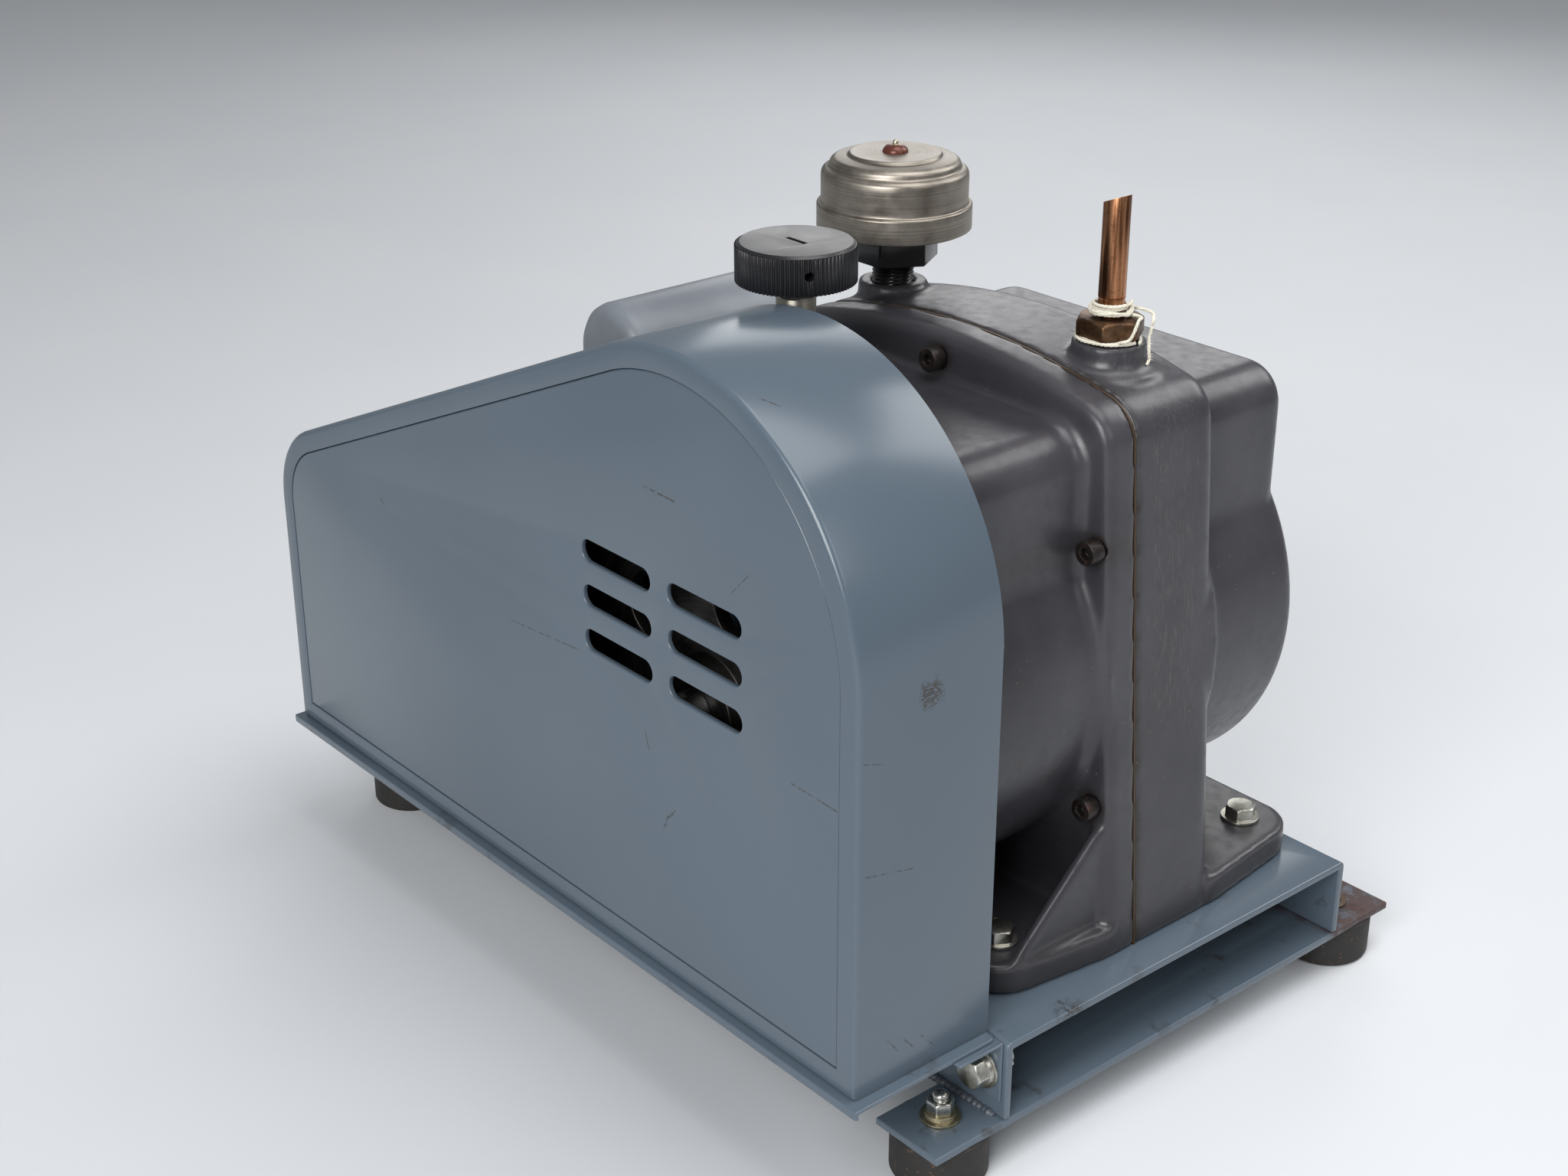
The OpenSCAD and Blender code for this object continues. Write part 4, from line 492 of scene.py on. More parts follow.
cloudy_metal("zinc", (196, 195, 188), (150, 147, 136), 0.26, (120, 104, 78), 0.12)
cloudy_metal("foot_zinc", (206, 206, 200), (158, 157, 150), 0.22, (130, 118, 92), 0.14,
             rust_behind=120.0)
cloudy_metal("foot_washer", (206, 196, 166), (160, 150, 122), 0.28, (104, 88, 62), 0.2,
             rust_behind=120.0)
cloudy_metal("black_steel", (40, 39, 39), (22, 21, 21), 0.34, (62, 44, 30), 0.3, metallic=0.55)
cloudy_metal("cap_screw_steel", (52, 46, 44), (26, 23, 22), 0.32, (82, 56, 44), 0.35,
             metallic=0.6)
cloudy_metal("cast_iron", (132, 132, 132), (96, 95, 94), 0.42, grain=0.6)
cloudy_metal("bronze", (118, 90, 66), (72, 52, 38), 0.36, (50, 38, 30), 0.4)
cloudy_metal("winding", (150, 84, 50), (104, 54, 34), 0.4)
cloudy_metal("weld_metal", (88, 96, 106), (62, 66, 72), 0.38, GRIME, 0.3, metallic=0.1,
             grain=0.8)

# %% Brown rivet with a pale pin, and black gloss
rivet_top = limits("dome_screw")[1][2]
brown = Finish("rivet_brown")
cloud = brown.noise(0.5, 4, 0.6)
pin = brown.step(brown.z, rivet_top - 2.5, rivet_top - 2.1)
colour = brown.blend(cloud, (66, 32, 26), (112, 60, 46))
brown.set(Base_Color=brown.blend(pin, colour, (176, 168, 148)), Metallic=pin * 0.5 + 0.35,
          Roughness=cloud * 0.14 + 0.24, Normal=brown.bump(cloud, 0.05, 0.4))
gloss = Finish("black_gloss")
cloud = gloss.noise(0.3, 4)
gloss.set(Base_Color=gloss.blend(cloud, (16, 15, 16), (30, 28, 29)),
          Roughness=cloud * 0.14 + 0.16, Normal=gloss.bump(gloss.noise(1.2, 2), 0.012, 0.4))

# %% Copper tube with streaks along it
copper = Finish("copper_tube")
streak = copper.noise(0.5, 5, 0.6, place=copper.stretched(1.6, 1.6, 0.06))
colour = copper.blend(copper.step(streak, 0.3, 0.7), (104, 68, 46), (188, 134, 98))
spots = copper.step(copper.noise(0.6, 4, 0.65), 0.55, 0.7)
copper.set(Base_Color=copper.blend(spots * 0.5, colour, (80, 50, 34)), Metallic=1.0,
           Roughness=streak * 0.2 + 0.2, Normal=copper.bump(streak, 0.03, 0.4))

# %% [markdown]
# ## Rubber, plastic, fibre and glass
# None of these is one flat colour. The feet have picked up brown grit, the knob is a moulded
# resin with a faint bloom, and the sealing thread is loose cotton that takes up a little dirt.

# %% Rubbers
rubber = Finish("foot_rubber")
crumbs = rubber.step(rubber.cells(0.32), 0.3, 0.12) * rubber.step(rubber.noise(0.12), 0.5, 0.6)
colour = rubber.blend(rubber.noise(0.2, 4), (24, 23, 22), (40, 36, 33))
rubber.set(Base_Color=rubber.blend(crumbs * 0.7, colour, (92, 66, 46)),
           Roughness=rubber.noise(0.5) * 0.2 + 0.55,
           Normal=rubber.bump(rubber.noise(1.1), 0.08, 0.5))
for name, dark, light, dust in (("belt_rubber", (22, 22, 23), (40, 40, 41), 0.35),
                                ("seal_rubber", (34, 22, 18), (56, 38, 30), 0.1)):
    rubber = Finish(name)
    fine = rubber.noise(0.9, 4, 0.6)
    dusty = rubber.step(rubber.noise(0.15, 4), 0.5, 0.75) * dust
    rubber.set(Base_Color=rubber.blend(dusty, rubber.blend(fine, dark, light), (96, 92, 86)),
               Roughness=fine * 0.2 + 0.6, Normal=rubber.bump(fine, 0.06, 0.5))

# %% Knob resin, vane laminate and gasket
resin = Finish("knob_resin")
bloom = resin.noise(0.08, 5, 0.6)
dusting = resin.noise(1.6, 4, 0.7)
colour = resin.blend(resin.step(dusting, 0.6, 0.76) * 0.1,
                     resin.blend(bloom, (16, 16, 18), (27, 27, 30)), (120, 120, 122))
resin.set(Base_Color=colour, Roughness=bloom * 0.16 + 0.24,
          Normal=resin.bump(dusting, 0.015, 0.4))

laminate = Finish("vane_laminate")
weft = (laminate.y * 3.4).wave() * (laminate.z * 3.4).wave()
laminate.set(Base_Color=laminate.blend(weft * 0.5 + 0.5, (84, 58, 36), (116, 84, 54)),
             Roughness=weft * 0.08 + 0.45, Normal=laminate.bump(weft, 0.02, 0.4))

paper = Finish("gasket_paper")
soaked = paper.noise(0.3, 5, 0.65)
paper.set(Base_Color=paper.blend(soaked, (34, 26, 18), (74, 54, 34)),
          Roughness=soaked * 0.3 + 0.3, Normal=paper.bump(soaked, 0.15, 0.6))

# %% Cotton thread and sight glass
cotton = Finish("thread_cotton")
fluff = cotton.noise(2.4, 4, 0.7)
soiled = cotton.step(cotton.noise(0.22, 4), 0.5, 0.75)
colour = cotton.blend(fluff, (196, 190, 172), (236, 232, 218))
cotton.set(Base_Color=cotton.blend(soiled * 0.4, colour, (168, 148, 112)),
           Roughness=fluff * 0.1 + 0.8, Normal=cotton.bump(fluff, 0.12, 0.7))

glass = Finish("clear_glass")
film = glass.noise(0.1, 4)
oil_level = middle("sight_glass")[2] + 1.0
wetted = glass.step(glass.z + film * 0.8, oil_level + 0.5, oil_level)
dry_colour = glass.blend(film, (118, 112, 98), (140, 134, 120))
oil_colour = glass.blend(film, (112, 62, 14), (148, 88, 24))
glass.set(Base_Color=glass.blend(wetted, dry_colour, oil_colour), Roughness=film * 0.04 + 0.03,
          Transmission_Weight=0.3, IOR=1.48)
print("finishes made:", len(finishes))

# %% [markdown]
# ## Sheet metal and machined pieces
# The engineering solids have knife edges, and a real edge is never that sharp: a sheet is broken
# over a small radius and a machined edge is chamfered. A copy of each solid is merged, its flat
# facets are joined into whole faces, and a bevel follows every edge that is sharper than a curve.

# %% Which body and which finish each solid has
body_names = {node: body for body, nodes in frame["record"]["behaviour"]["bodies"].items()
              for node in nodes}
slot_names = {part["node"]: part["material_slot"] for part in frame["record"]["subparts"]}


def dress(piece, name, finish, node, sharp=35.0):
    """Names a made piece, shades it, paints it and lets it ride with its solid's body."""
    pick(piece)
    bpy.ops.object.transform_apply(location=True, rotation=True, scale=True)
    bpy.ops.object.shade_smooth_by_angle(angle=math.radians(sharp), keep_sharp_edges=False)
    piece.name = name
    piece.data.name = name
    piece.data.materials.clear()
    piece.data.materials.append(finishes[finish])
    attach(piece, body_names[node])
    print(name, "points:", len(piece.data.vertices))
    return piece


def finish_piece(piece, name, finish, node, sharp=35.0):
    """Puts a made piece in the place of its solid, with its shading and its finish."""
    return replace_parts(dress(piece, name, finish, node, sharp), node)


# %% Soften the edges of a copy of a solid
SHARP = math.radians(40)


def copy_solid(node):
    piece = put(node + "_copy", frame["nodes"][node].data.copy())
    pick(piece)
    if piece.data.has_custom_normals:
        bpy.ops.mesh.customdata_custom_splitnormals_clear()
    bpy.ops.object.mode_set(mode="EDIT")
    bpy.ops.mesh.select_all(action="SELECT")
    bpy.ops.mesh.remove_doubles(threshold=0.00001)
    bpy.ops.mesh.dissolve_limited(angle_limit=math.radians(1.5))
    bpy.ops.object.mode_set(mode="OBJECT")
    return piece


def soften(node, width, finish, segments=2, weigh=None):
    """A copy of a solid whose sharp edges are rounded over a width in millimetres.

    With weigh, each edge's width is multiplied by weigh(middle of the edge)."""
    piece = copy_solid(node)
    if weigh:
        weigh_edges(piece.data, weigh)
    modify(piece, "BEVEL", width=width * MM, segments=segments, angle_limit=SHARP,
           limit_method="WEIGHT" if weigh else "ANGLE", use_clamp_overlap=False)
    return finish_piece(piece, node + "_soft", finish, node)


# %% Bevel weights from where each edge lies


def weigh_edges(mesh, weigh):
    weight = mesh.attributes.new("bevel_weight_edge", "FLOAT", "EDGE")
    faces_of = {}
    for face in mesh.polygons:
        for key in face.edge_keys:
            faces_of.setdefault(key, []).append(face.normal)
    for edge in mesh.edges:
        normals = faces_of.get(edge.key, [])
        if len(normals) == 2 and normals[0].angle(normals[1], 0) > SHARP:
            a, b = (mesh.vertices[i].co / MM for i in edge.vertices)
            weight.data[edge.index].value = weigh((a + b) / 2)


# %% [markdown]
# ## Guard, base and tray
# The guard is folded and welded sheet. Only its outer edge is folded over a wide radius, and the
# slots and hidden edges are just broken. One bevel does both, because each edge carries its own
# bevel weight.

# %% Outline of the guard: a slope between a small bend and a large arch
rim_low, rim_high = limits("guard_rim")
ARCH_X, ARCH_Z, ARCH_R = 117.0, 263.0, 123.0
BEND_X, BEND_Z, BEND_R = -190.0, 210.0, 50.0
LEAN = math.radians(113.3)


def depth_inside_outline(place):
    """How far a point lies inside the outer outline of the guard, in millimetres."""
    dx, dz = place.x - ARCH_X, place.z - ARCH_Z
    arch = ARCH_R - math.hypot(dx, dz)
    slope = ARCH_R - (dx * math.cos(LEAN) + dz * math.sin(LEAN))
    if dx > 0 and dz > 0:
        return arch
    if place.x < BEND_X and place.z > BEND_Z:
        return BEND_R - math.hypot(place.x - BEND_X, place.z - BEND_Z)
    side = min(rim_high[0] - place.x, place.x - rim_low[0], place.z - rim_low[2])
    if place.z <= BEND_Z - 10:
        return side
    over_arch = dx * math.sin(LEAN) > dz * math.cos(LEAN) and dz > 0
    return min(side, arch if over_arch else slope)


def rim_edge(place):
    """Wide on the outer front edge, narrow everywhere else."""
    at_front = place.y < rim_low[1] + 0.3 and place.z > rim_low[2] + 1
    return 1.0 if at_front and depth_inside_outline(place) <= 1.0 else 0.1


# %% Guard, base and tray
soften("guard_rim", 3.0, "slate_paint_rim", segments=4, weigh=rim_edge)
for node, width, segments, part in (
        ("guard_face", 0.9, 3, "face"), ("guard_back", 0.5, 2, "face"),
        ("guard_tray", 0.7, 3, "base"), ("guard_brackets", 0.7, 3, "base"),
        ("base_channel", 1.1, 3, "base"), ("cross_plates", 0.8, 3, "plates")):
    soften(node, width, "slate_paint_" + part, segments)

# %% [markdown]
# ## Castings
# A moulded iron casting has no sharp edge at all, and every inner corner is filled with a
# fillet. That is what a voxel remesh does: it covers the solid with a fine even skin, and a few
# rounds of smoothing then melt the edges and fill the corners, as sand moulding does.

# %% Melt a solid into a casting
SKIN_VOXEL = 1.7

for node, share_kept in (("front_casting", 0.55), ("rear_casting", 0.5)):
    piece = copy_solid(node)
    modify(piece, "REMESH", mode="VOXEL", voxel_size=SKIN_VOXEL * MM)
    modify(piece, "SMOOTH", factor=0.5, iterations=4)
    modify(piece, "DECIMATE", ratio=share_kept)
    modify(piece, "SMOOTH", factor=0.5, iterations=3)
    finish_piece(piece, node + "_cast", "case_paint", node, sharp=60)

# %% [markdown]
# ## Turned and pressed pieces
# A lathe piece is its profile turned about an axis. A ring of points is drawn, and each next step
# of the profile is one more extrusion of that ring, resized about the axis and moved along it.

# %% Turn a profile about a standing axis


def turned(profile, centre, steps):
    """Closed surface of a profile of (radius, height) pairs in mm, about an upright axis."""
    x, y = (v * MM for v in centre[:2])
    pick()
    bpy.ops.mesh.primitive_circle_add(vertices=steps, radius=profile[0][0] * MM,
                                      location=(x, y, profile[0][1] * MM))
    piece = bpy.context.object
    bpy.ops.object.transform_apply(location=True)
    bpy.ops.object.mode_set(mode="EDIT")
    bpy.ops.mesh.select_all(action="SELECT")
    for (r0, z0), (r1, z1) in zip(profile, profile[1:]):
        bpy.ops.mesh.extrude_region_move(TRANSFORM_OT_translate={"value": (0, 0, (z1 - z0) * MM)})
        bpy.ops.transform.resize(value=(r1 / r0, r1 / r0, 1), center_override=(x, y, z1 * MM))
    close_up()
    return piece


def raised(profile, base):
    return [(radius, base + height) for radius, height in profile]


def rounded(points, radius, steps):
    """A profile with each inner corner of its polyline rounded."""
    out = [points[0]]
    for a, b, c in zip(points, points[1:], points[2:]):
        a, b, c = Vector(a), Vector(b), Vector(c)
        cut = min(radius, (a - b).length * 0.45, (c - b).length * 0.45)
        start, end = b + (a - b).normalized() * cut, b + (c - b).normalized() * cut
        for i in range(steps + 1):
            t = i / steps
            out.append(tuple(start.lerp(b, t).lerp(b.lerp(end, t), t)))
    return out + [points[-1]]


# %% [markdown]
# ## Exhaust dome
# The dome is pressed from thin nickelled sheet: a skirt, a rolled bead, a straight wall, a
# shoulder and a stepped crown. Pressed sheet has a small radius at every change of direction.

# %% Exhaust dome
outside = [(39, 0.4), (39, 11.9), (38.4, 12.6), (37.1, 12.9), (36.9, 14.2), (37, 26.2),
           (36.5, 28.9), (34.6, 30.2), (33.4, 30.5), (32.9, 31.2), (32.5, 33.4), (30.4, 35),
           (24.2, 35.9), (23.4, 36.3), (22.8, 37.4), (21.6, 37.5), (8, 37.5), (3, 37.5)]
inside = [(2.6, 36.6), (21.2, 36.6), (30, 34.1), (31.6, 30.6), (36, 25.9), (35.9, 14), (36, 12.4),
          (38.1, 11), (38.1, 0.4)]
profile = rounded(outside, 1.1, 3) + inside + outside[:1]
dome = turned(raised(profile, limits("dome_cover")[0][2]), dome_centre, 128)
finish_piece(dome, "dome_pressed", "nickel_dome", "dome_cover", sharp=50)

# %% Rivet on the crown, and the pan under the dome
shank_end = limits("dome_screw")[0][2] - rivet_top
rivet_profile = [(2.4, shank_end), (2.4, -6.4), (6.3, -6.4), (6.5, -5.9), (6.4, -5.2), (5.8, -4.1),
                 (4.6, -3.0), (3.0, -2.4), (1.7, -2.2), (1.4, -2.0), (1.3, -0.7), (0.9, -0.15),
                 (0.3, 0)]
rivet = turned(raised(rivet_profile, rivet_top), middle("dome_screw"), 48)
finish_piece(rivet, "dome_rivet", "rivet_brown", "dome_screw", sharp=50)
soften("dome_pan", 0.35, "nickel_dome")

# %% [markdown]
# ## Threads
# The nipple is a black pipe piece with a pipe thread, which shows between the boss and the nut,
# and each foot has a threaded stud. Their rows of points are close together, and each point is
# drawn in by its place on the helix.

# %% A turned rod with a thread


def threaded(start, body, end, centre, steps, pitch, depth, low, high):
    """A turned rod whose body, (radius, low, high, rows), is threaded between two heights."""
    radius, body_low, body_high, rows = body
    straight = [(radius, body_low + (body_high - body_low) * i / rows) for i in range(rows + 1)]
    rod = turned(start + straight + end, centre, steps)
    for point in rod.data.vertices:
        x, y = point.co.x / MM - centre[0], point.co.y / MM - centre[1]
        z, reach = point.co.z / MM, math.hypot(x, y)
        if low < z < high and reach > 1:
            phase = (z / pitch - math.atan2(y, x) / (2 * math.pi)) % 1.0
            fade = min(1.0, (z - low) / pitch, (high - z) / pitch)
            share = 1 - depth * fade * abs(phase * 2 - 1) / reach
            point.co.x, point.co.y = (centre[0] + x * share) * MM, (centre[1] + y * share) * MM
    return rod


# %% Exhaust nipple and its nut
NIPPLE_R, PIPE_PITCH = 10.6, 1.81
low, high = (corner[2] for corner in limits("exhaust_nipple"))
body = (NIPPLE_R, low + 4, high - 4, int((high - low - 8) / (PIPE_PITCH / 6)))
nipple = threaded([(NIPPLE_R * 0.4, low), (NIPPLE_R, low + 0.2)], body,
                  [(NIPPLE_R, high - NIPPLE_R * 0.28), (NIPPLE_R * 0.82, high - NIPPLE_R * 0.1),
                   (NIPPLE_R * 0.4, high)], middle("exhaust_nipple"), 48, PIPE_PITCH, 1.15,
                  low + 4, high - 4)
finish_piece(nipple, "nipple_threaded", "black_gloss", "exhaust_nipple", sharp=45)
soften("exhaust_nut", 0.9, "black_gloss", segments=3)

# %% Studs, nuts, washers and rubbers of the feet
STUD_R, STUD_PITCH = 3.9, 1.41
STUD_FACET_R = 3.87
stud_low, stud_high = limits("foot_studs")
low, high = stud_low[2], stud_high[2]
first_x, first_y = stud_low[0] + STUD_R, stud_low[1] + STUD_FACET_R
apart_x = stud_high[0] - STUD_R - first_x
apart_y = stud_high[1] - STUD_FACET_R - first_y
stud = threaded([(1.5, low), (3.85, low + 0.2)], (STUD_R, low + 0.5, high - 2.1, 96),
                [(3.3, high - 1.2), (2.3, high - 0.5), (0.5, high)], (first_x, first_y), 32,
                STUD_PITCH, 0.8, low + 3, high - 2.6)
studs = repeat(stud, [(0, apart_y, 0), (apart_x, 0, 0), (apart_x, apart_y, 0)])
finish_piece(studs, "foot_studs_threaded", "foot_zinc", "foot_studs", sharp=45)
soften("foot_nuts", 0.8, "foot_zinc", segments=3)
soften("foot_washers", 0.3, "foot_washer")
soften("rubber_feet", 1.6, "foot_rubber", segments=4)
print("feet stand", round(apart_x), "by", round(apart_y), "mm apart")

# %% [markdown]
# ## Bolts, screws, bushing, pulleys and motor
# The small pieces are machined or forged, so a small even bevel on every edge is what the real
# ones have. The motor's shell is rolled sheet and its bells are castings, so the shell is only
# broken at its edges and the bells are rounded more.

# %% Softened pieces, by finish
for finish, pieces in {
        "zinc": {"guard_bolts": 0.5, "pump_foot_bolts": 0.5, "motor_bolts": 0.4, "drain_plug": 0.4},
        "black_steel": {"seal_screws": 0.3, "sight_bezel": 0.45, "pulley_setscrew": 0.2,
                        "knob_setscrew": 0.2},
        "bronze": {"intake_bushing": 0.7}, "copper_tube": {"intake_tube": 0.35},
        "gasket_paper": {"case_gasket": 0.25}, "knob_resin": {"ballast_knob": 0.22},
        "pulley_iron": {"pump_pulley": 0.9, "motor_pulley": 0.5},
        "case_paint": {"seal_housing": 0.8}, "slate_paint_base": {"motor_cradle": 0.9},
        "motor_paint": {"motor_shell": 0.5, "motor_front_bell": 1.3, "motor_rear_bell": 1.3,
                        "capacitor_cover": 1.1}}.items():
    for node, width in pieces.items():
        soften(node, width, finish, segments=3 if width >= 0.8 else 2)

# %% [markdown]
# ## Cap screws of the case
# Five socket head cap screws hold the castings together. One is modelled, and four are copied from
# it. The head is a cylinder, its back face is inset and extruded into the shank, a hexagonal
# prism is cut out of the front by a Boolean modifier, and a bevel breaks the edges.

# %% One cap screw
HEAD_R, HEAD_LENGTH, SHANK_R, SOCKET_R = 5.8, 8.0, 3.9, 3.0
cap_low, cap_high = limits("cover_screws")
head_front, shank_end = cap_low[1], cap_high[1]
head_back = head_front + HEAD_LENGTH
first_x, first_z = screw_places[0]


def lying_cylinder(sides, radius, front, back):
    """A cylinder along y on the axis of the first screw."""
    pick()
    bpy.ops.mesh.primitive_cylinder_add(
        vertices=sides, radius=radius * MM, depth=(back - front) * MM,
        location=(first_x * MM, (front + back) / 2 * MM, first_z * MM),
        rotation=(math.radians(90), 0, 0))
    bpy.ops.object.transform_apply(location=True, rotation=True)
    return bpy.context.object


cap_screw = lying_cylinder(48, HEAD_R, head_front, head_back)
bpy.context.tool_settings.mesh_select_mode = (False, False, True)
for face in cap_screw.data.polygons:
    face.select = face.normal.y > 0.9
bpy.ops.object.mode_set(mode="EDIT")
bpy.ops.mesh.inset(thickness=(HEAD_R - SHANK_R) * MM)
bpy.ops.mesh.extrude_region_move(
    TRANSFORM_OT_translate={"value": (0, (shank_end - head_back) * MM, 0)})
bpy.ops.object.mode_set(mode="OBJECT")
bpy.context.tool_settings.mesh_select_mode = (True, False, False)
socket = lying_cylinder(6, SOCKET_R, head_front - 4, head_front + 4)
modify(cap_screw, "BOOLEAN", operation="DIFFERENCE", object=socket)
bpy.data.objects.remove(socket)
modify(cap_screw, "BEVEL", width=0.55 * MM, segments=3, angle_limit=math.radians(35))

# %% Five cap screws
screws = repeat(cap_screw, [(x - first_x, 0, z - first_z) for x, z in screw_places[1:]])
finish_piece(screws, "cap_screws_of_case", "cap_screw_steel", "cover_screws", sharp=40)

# %% [markdown]
# ## Ballast stem
# The stem below the moulded knob has a collar that widens upwards and carries fine cuts for the
# fingers, so its ring points alternate in radius there.

# %% Ballast stem
SHOULDER_Z, STEM_STEPS, CUT_DEPTH = 332.0, 144, 0.42
low, high = (corner[2] for corner in limits("ballast_stem"))
collar = [(9.35, -7.6), (9.1, -7.2), (9.1, -6.4), (9.6, -5.9), (10.0, -4.4), (10.5, -2.6),
          (10.9, -1.0), (10.7, -0.2), (10.2, 0), (4.3, 0), (4.2, -40), (2.1, -43)]
stem = turned([(5.9, low), (5.9, SHOULDER_Z - 3.4), (9.3, SHOULDER_Z - 3.0)] + raised(collar, high)
              + [(2.0, low), (5.9, low)], knob_centre, STEM_STEPS)
for point in stem.data.vertices:
    x, y = point.co.x / MM - knob_centre[0], point.co.y / MM - knob_centre[1]
    reach = math.hypot(x, y)
    notch = round(math.atan2(y, x) / (2 * math.pi) * STEM_STEPS) % 2
    if high - 6.2 < point.co.z / MM < high - 0.5 and reach > 9 and notch:
        point.co.x = (knob_centre[0] + x * (1 - CUT_DEPTH / reach)) * MM
        point.co.y = (knob_centre[1] + y * (1 - CUT_DEPTH / reach)) * MM
finish_piece(stem, "stem_knurled", "nickel_stem", "ballast_stem", sharp=50)

# %% [markdown]
# ## Pieces that follow a path
# The belt, the sealing thread and the weld beads are all one section carried along a path. A flat
# grid is added with one row for each point of the path, and its rows are then laid on the path.

# %% Carry a section along a path


def path_frame(path, k, closed=False, up=(0, 0, 1), hub=(0, 0)):
    """Two unit vectors across a path at one of its points, in mm about an upright hub."""
    last = len(path) - 1
    before = path[k - 1] if closed else path[max(k - 1, 0)]
    after = path[(k + 1) % len(path)] if closed else path[min(k + 1, last)]
    ahead = (after - before).normalized()
    side = ahead.cross(Vector(up))
    if side.length <= 0.3:
        side = ahead.cross(Vector((path[k].x - hub[0], path[k].y - hub[1], 0)).normalized())
    side.normalize()
    return side, side.cross(ahead).normalized()


def sweep(path, section, closed=False, up=(0, 0, 1)):
    """Tube with a section of (side, up) pairs in mm at each point of a path in mm."""
    path = [Vector(p) for p in path]
    rows, columns = len(path), len(section)
    pick()
    bpy.ops.mesh.primitive_grid_add(x_subdivisions=columns, y_subdivisions=rows - 1 + closed,
                                    size=1)
    piece = bpy.context.object
    for i in range(rows + closed):
        place = path[i % rows]
        side, top = path_frame(path, i % rows, closed, up)
        for j in range(columns + 1):
            a, b = section[j % columns]
            piece.data.vertices[i * (columns + 1) + j].co = (place + side * a + top * b) * MM
    bpy.ops.object.mode_set(mode="EDIT")
    close_up()
    return piece


def disc(radius, steps):
    return [(radius * math.cos(2 * math.pi * k / steps), radius * math.sin(2 * math.pi * k / steps))
            for k in range(steps)]


# %% Belt round the two pulleys
PUMP_PITCH, MOTOR_PITCH = 101.0, 32.5
belt_y = middle("v_belt")[1]
motor_x, motor_z = joint_axis("motor_spin")
span = math.hypot(pump_x - motor_x, pump_z - motor_z)
tilt = math.atan2(pump_z - motor_z, pump_x - motor_x)
wrap = math.acos((MOTOR_PITCH - PUMP_PITCH) / span)
belt_path = []
for x, z, radius, start, turn, parts in (
        (pump_x, pump_z, PUMP_PITCH, tilt - wrap, 2 * wrap, 120),
        (motor_x, motor_z, MOTOR_PITCH, tilt + wrap, 2 * (math.pi - wrap), 48)):
    for i in range(parts + 1):
        a = start + turn * i / parts
        belt_path.append((x + radius * math.cos(a), belt_y, z + radius * math.sin(a)))
right_half = [(3.4, -5.4), (3.9, -4.9), (6.25, 1.7), (6.2, 2.2), (5.8, 2.5)]
belt_section = [(-a, b) for a, b in reversed(right_half)] + right_half
belt = sweep(belt_path, belt_section, closed=True, up=(0, 1, 0))
finish_piece(belt, "belt_smooth", "belt_rubber", "v_belt", sharp=40)

# %% [markdown]
# ## Sealing thread
# Fibre thread is wound under the hexagon and round the tube. It is three plies twisted together,
# so three thin tubes turn about the one route, and a few loose fibres stand off it.

# %% Route of the sealing thread, as in the engineering source
THREAD, PITCH, LIFT, RISE = 1.5, 1.5 + 0.55, 1.6, 2.2
tube_x, tube_y = middle("intake_tube")[:2]
bush_top = limits("intake_bushing")[1][2]
low_z, top_z = bush_top - 10.4 + THREAD / 2 + 0.1, bush_top + THREAD / 2 + 0.1
low_r = (25.8 + THREAD) / 2 + 0.15
out_r = 28.6 / 2 / math.cos(math.radians(30)) + THREAD / 2 + 0.8
tube_r = (12.7 + THREAD) / 2 + 0.2


def polar(reach, degrees, z):
    a = math.radians(degrees)
    return tube_x + reach * math.cos(a), tube_y + reach * math.sin(a), z


def ease(t):
    return t * t * (3 - 2 * t)


route = [polar(low_r + 3.6 * (1 - i / 5) ** 2, 4 + 8 * i, low_z) for i in range(6)]
route += [polar(low_r, 44 + 13.8 * i, low_z) for i in range(1, 21)]
route += [polar(low_r + (out_r - low_r) * ease(i / 5), 322 + 3 * i, low_z + RISE * ease(i / 5))
          for i in range(1, 6)]
route += [polar(out_r + 0.9 * math.sin(math.pi * i / 7), 337 + 3 * i,
                low_z + RISE + (top_z + LIFT - low_z - RISE) * ease(i / 7)) for i in range(1, 8)]
route += [polar(out_r + (tube_r - out_r) * ease(i / 6), 358 + 7 * i,
                top_z + LIFT * (1 - ease(i / 6))) for i in range(1, 7)]
route += [polar(tube_r + 1.9 * math.sin(math.radians(270 * i / 54)) ** 2, 400 + 1080 * i / 54,
                top_z + 3 * PITCH * i / 54) for i in range(1, 55)]
print("thread route points:", len(route))

# %% The loose end, a second turn on the boss and a tangle round the tube


def finer(path, parts):
    """More points along a path, on a smooth curve through the given ones."""
    path = [Vector(p) for p in path]
    out = []
    for i in range(len(path) - 1):
        a, b, c, d = (path[min(max(k, 0), len(path) - 1)] for k in (i - 1, i, i + 1, i + 2))
        for t in (j / parts for j in range(parts)):
            out.append(0.5 * (2 * b + (c - a) * t + (2 * a - 5 * b + 4 * c - d) * t * t
                              + (3 * b - a - 3 * c + d) * t ** 3))
    return out + [path[-1]]


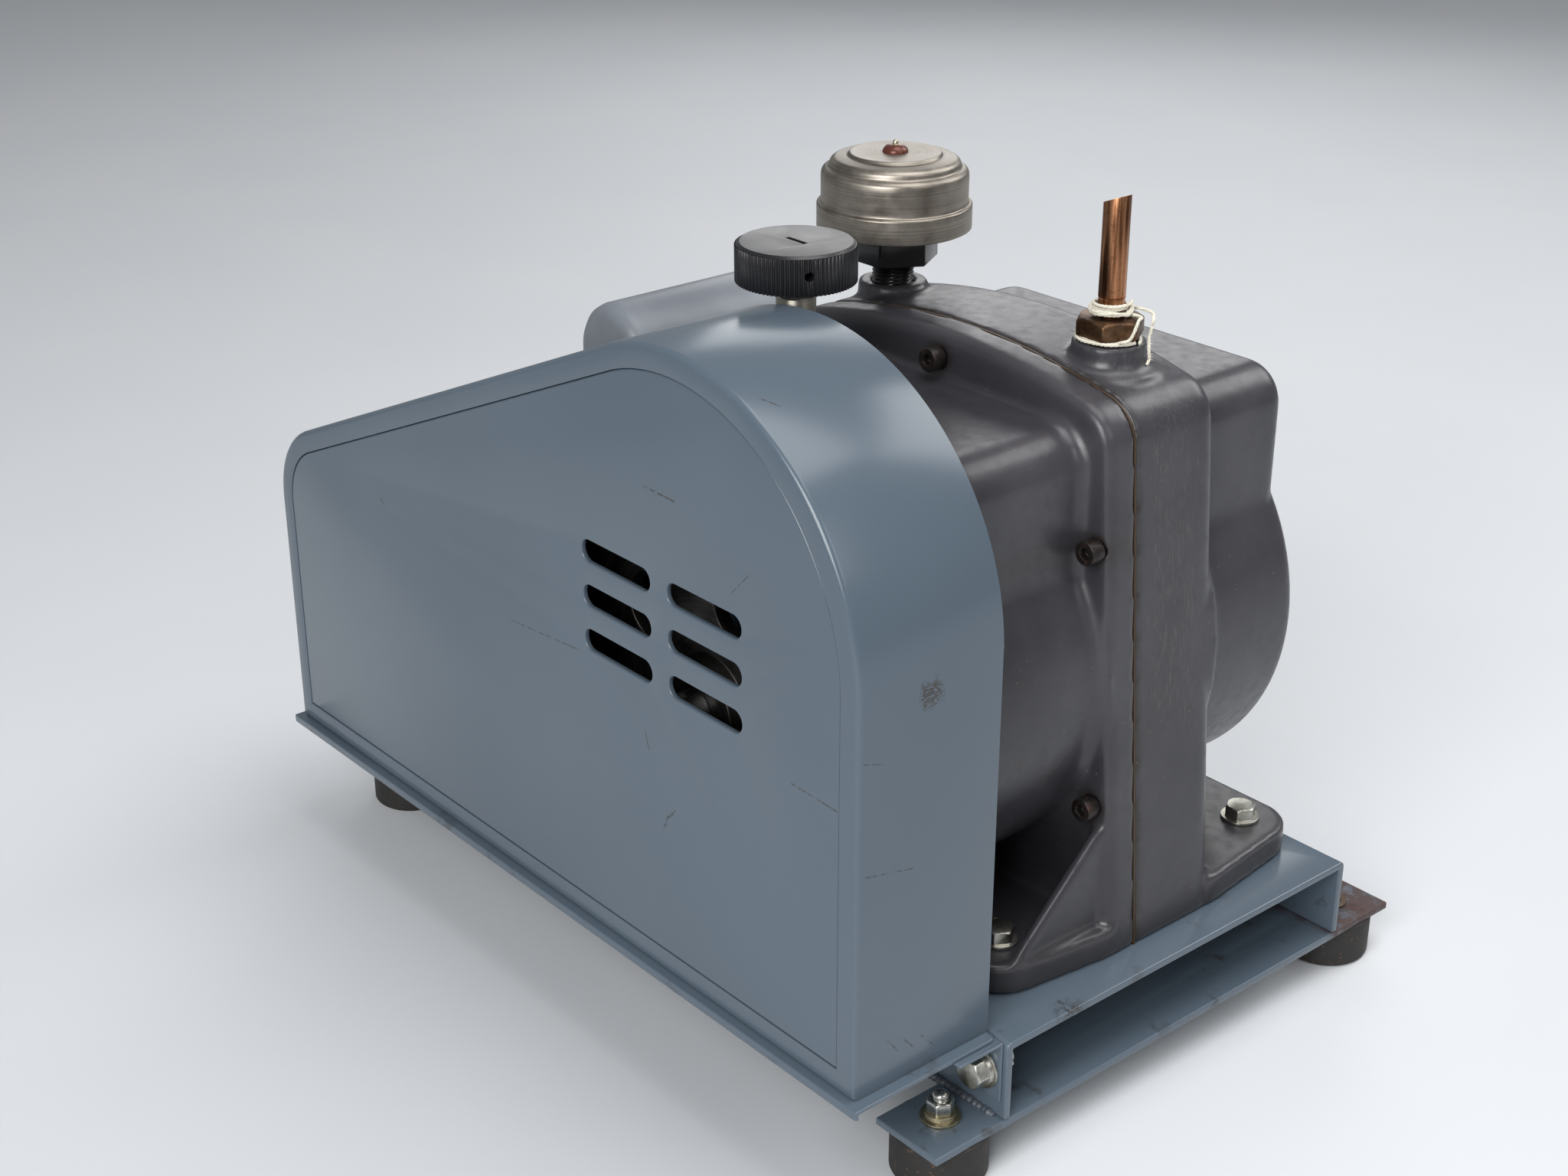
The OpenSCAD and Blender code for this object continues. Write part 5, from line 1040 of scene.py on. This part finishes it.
loose_end = [polar(tube_r + 1.2, 96, top_z + 1.0), polar(12.5, 66, top_z + 1.5),
             polar(out_r + 0.4, 42, top_z + 1.3), polar(out_r + 1.7, 32, top_z - 1.2),
             polar(out_r + 1.3, 28, (top_z + low_z) / 2), polar(out_r + 0.7, 26, low_z + 1.4),
             polar(out_r + 0.9, 24, low_z - 2), polar(19.6, 21, low_z - 5.5),
             polar(19.9, 22, low_z - 8.5), polar(19.4, 17, low_z - 11)]
second_turn = [polar(low_r + 1.7 + 0.35 * math.sin(i * 1.3), 60 + 12 * i,
                     low_z + 0.12 * math.sin(i)) for i in range(26)]
tangle = [polar(tube_r + 1.1 + 1.5 * abs(math.sin(i * 1.27)), 20 + 31 * i,
                top_z + 0.5 + 1.5 * abs(math.sin(i * 0.83)) + 0.035 * i) for i in range(44)]
routes = [finer(line, 5) for line in (route, loose_end, second_turn, tangle)]

# %% Three twisted plies
PLY_R, PLY_TURN = 0.46, 0.62


def twisted(path):
    """Three thin tubes that turn about one path."""
    plies = []
    for k in range(3):
        line = []
        for i, point in enumerate(path):
            side, top = path_frame(path, i, hub=(tube_x, tube_y))
            turn = 2 * math.pi * k / 3 + i * PLY_TURN
            wander = 0.4 + 0.06 * math.sin(i * 0.37 + k)
            line.append(point + (side * math.cos(turn) + top * math.sin(turn)) * wander)
        plies.append(sweep(line, disc(PLY_R, 6)))
    return plies


plies = [ply for line in routes for ply in twisted(line)]
print("plies:", len(plies))

# %% Loose fibres
rng = np.random.default_rng(7)
fibres = []
for k in range(90):
    line = routes[int(rng.integers(0, len(routes)))]
    start = line[int(rng.integers(4, len(line) - 2))]
    away = Vector((start.x - tube_x, start.y - tube_y, 0)).normalized()
    lean = Vector(rng.normal(0, 0.5, 3))
    lean.z = abs(lean.z) * 0.6
    size = float(rng.uniform(0.5, 1.5))
    bend = [start + away * 0.55 + (away + lean) * size * t - Vector((0, 0, 0.5 * size * t * t))
            for t in (0, 0.34, 0.67, 1)]
    fibres.append(sweep(bend, disc(0.07, 3)))
finish_piece(join(plies + fibres), "thread_three_ply", "thread_cotton", "sealing_thread",
             sharp=60)

# %% [markdown]
# ## Weld beads
# The foot plates are welded under the channel and the welds were painted over. A weld bead is a
# row of small overlapping pools, so a round section swells and shrinks along a short path.

# %% Weld beads
(_, left_y, _), (_, right_y, _) = limits("base_channel")
weld_z = limits("cross_plates")[1][2] + 0.3
INNER_X, OUTER_X, ROW = 150, 246, 0.55
rows = int((OUTER_X - INNER_X) / ROW)
beads = []
for side, x0, x1 in ((-1, -OUTER_X, -INNER_X), (-1, INNER_X, OUTER_X),
                     (1, -OUTER_X, -INNER_X), (1, INNER_X, OUTER_X)):
    edge = left_y if side < 0 else right_y
    path, swell = [], []
    for i in range(rows + 1):
        x = x0 + (x1 - x0) * i / rows
        wobble = 0.5 * math.sin(x * 0.31) + 0.35 * math.sin(x * 0.83 + 1.3)
        path.append((x, edge + side * (0.6 + 0.3 * wobble), weld_z))
        pool = abs(math.sin(x * 0.95 + 0.6 * math.sin(x * 0.21)))
        end = min(1.0, i / 5, (rows - i) / 5)
        swell.append((0.35 + 0.65 * math.sqrt(end)) * (2.1 + 0.75 * pool + 0.4 * wobble))
    bead = sweep(path, disc(1.0, 12))
    for point in bead.data.vertices:
        k = min(max(round((point.co.x / MM - x0) / (x1 - x0) * rows), 0), rows)
        y, z = path[k][1] * MM, path[k][2] * MM
        point.co.y = y + (point.co.y - y) * swell[k]
        point.co.z = z + (point.co.z - z) * swell[k] * 0.8
    beads.append(bead)
dress(join(beads), "weld_beads", "weld_metal", "base_channel", sharp=60)

# %% [markdown]
# ## Finishes of the solids that stay
# The pieces inside the case and the motor are right as they are. Each takes the finish of its
# material from the drawing, so that a cut or an exploded view looks right too.

# %% Finishes for the remaining solids
finish_of_slot = {"bright_steel": "shaft_steel", "iron": "cast_iron", "can": "can_paint",
                  "vane_resin": "vane_laminate"}
kept = [name for name, node in frame["nodes"].items() if not node.hide_render]
for name in kept:
    slot = slot_names[name]
    materials = frame["nodes"][name].data.materials
    materials.clear()
    materials.append(finishes[finish_of_slot.get(slot, slot)])
print("solids that stay:", len(kept), sorted(kept))

# %% [markdown]
# ## Size
# The box that the dressed model fills is printed, in millimetres. The dressed model must stay
# inside the box of the engineering model.

# %% Print the box of the dressed model
low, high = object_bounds()
print("box of the looks: ", [round(v / MM, 2) for v in (*low, *high)])
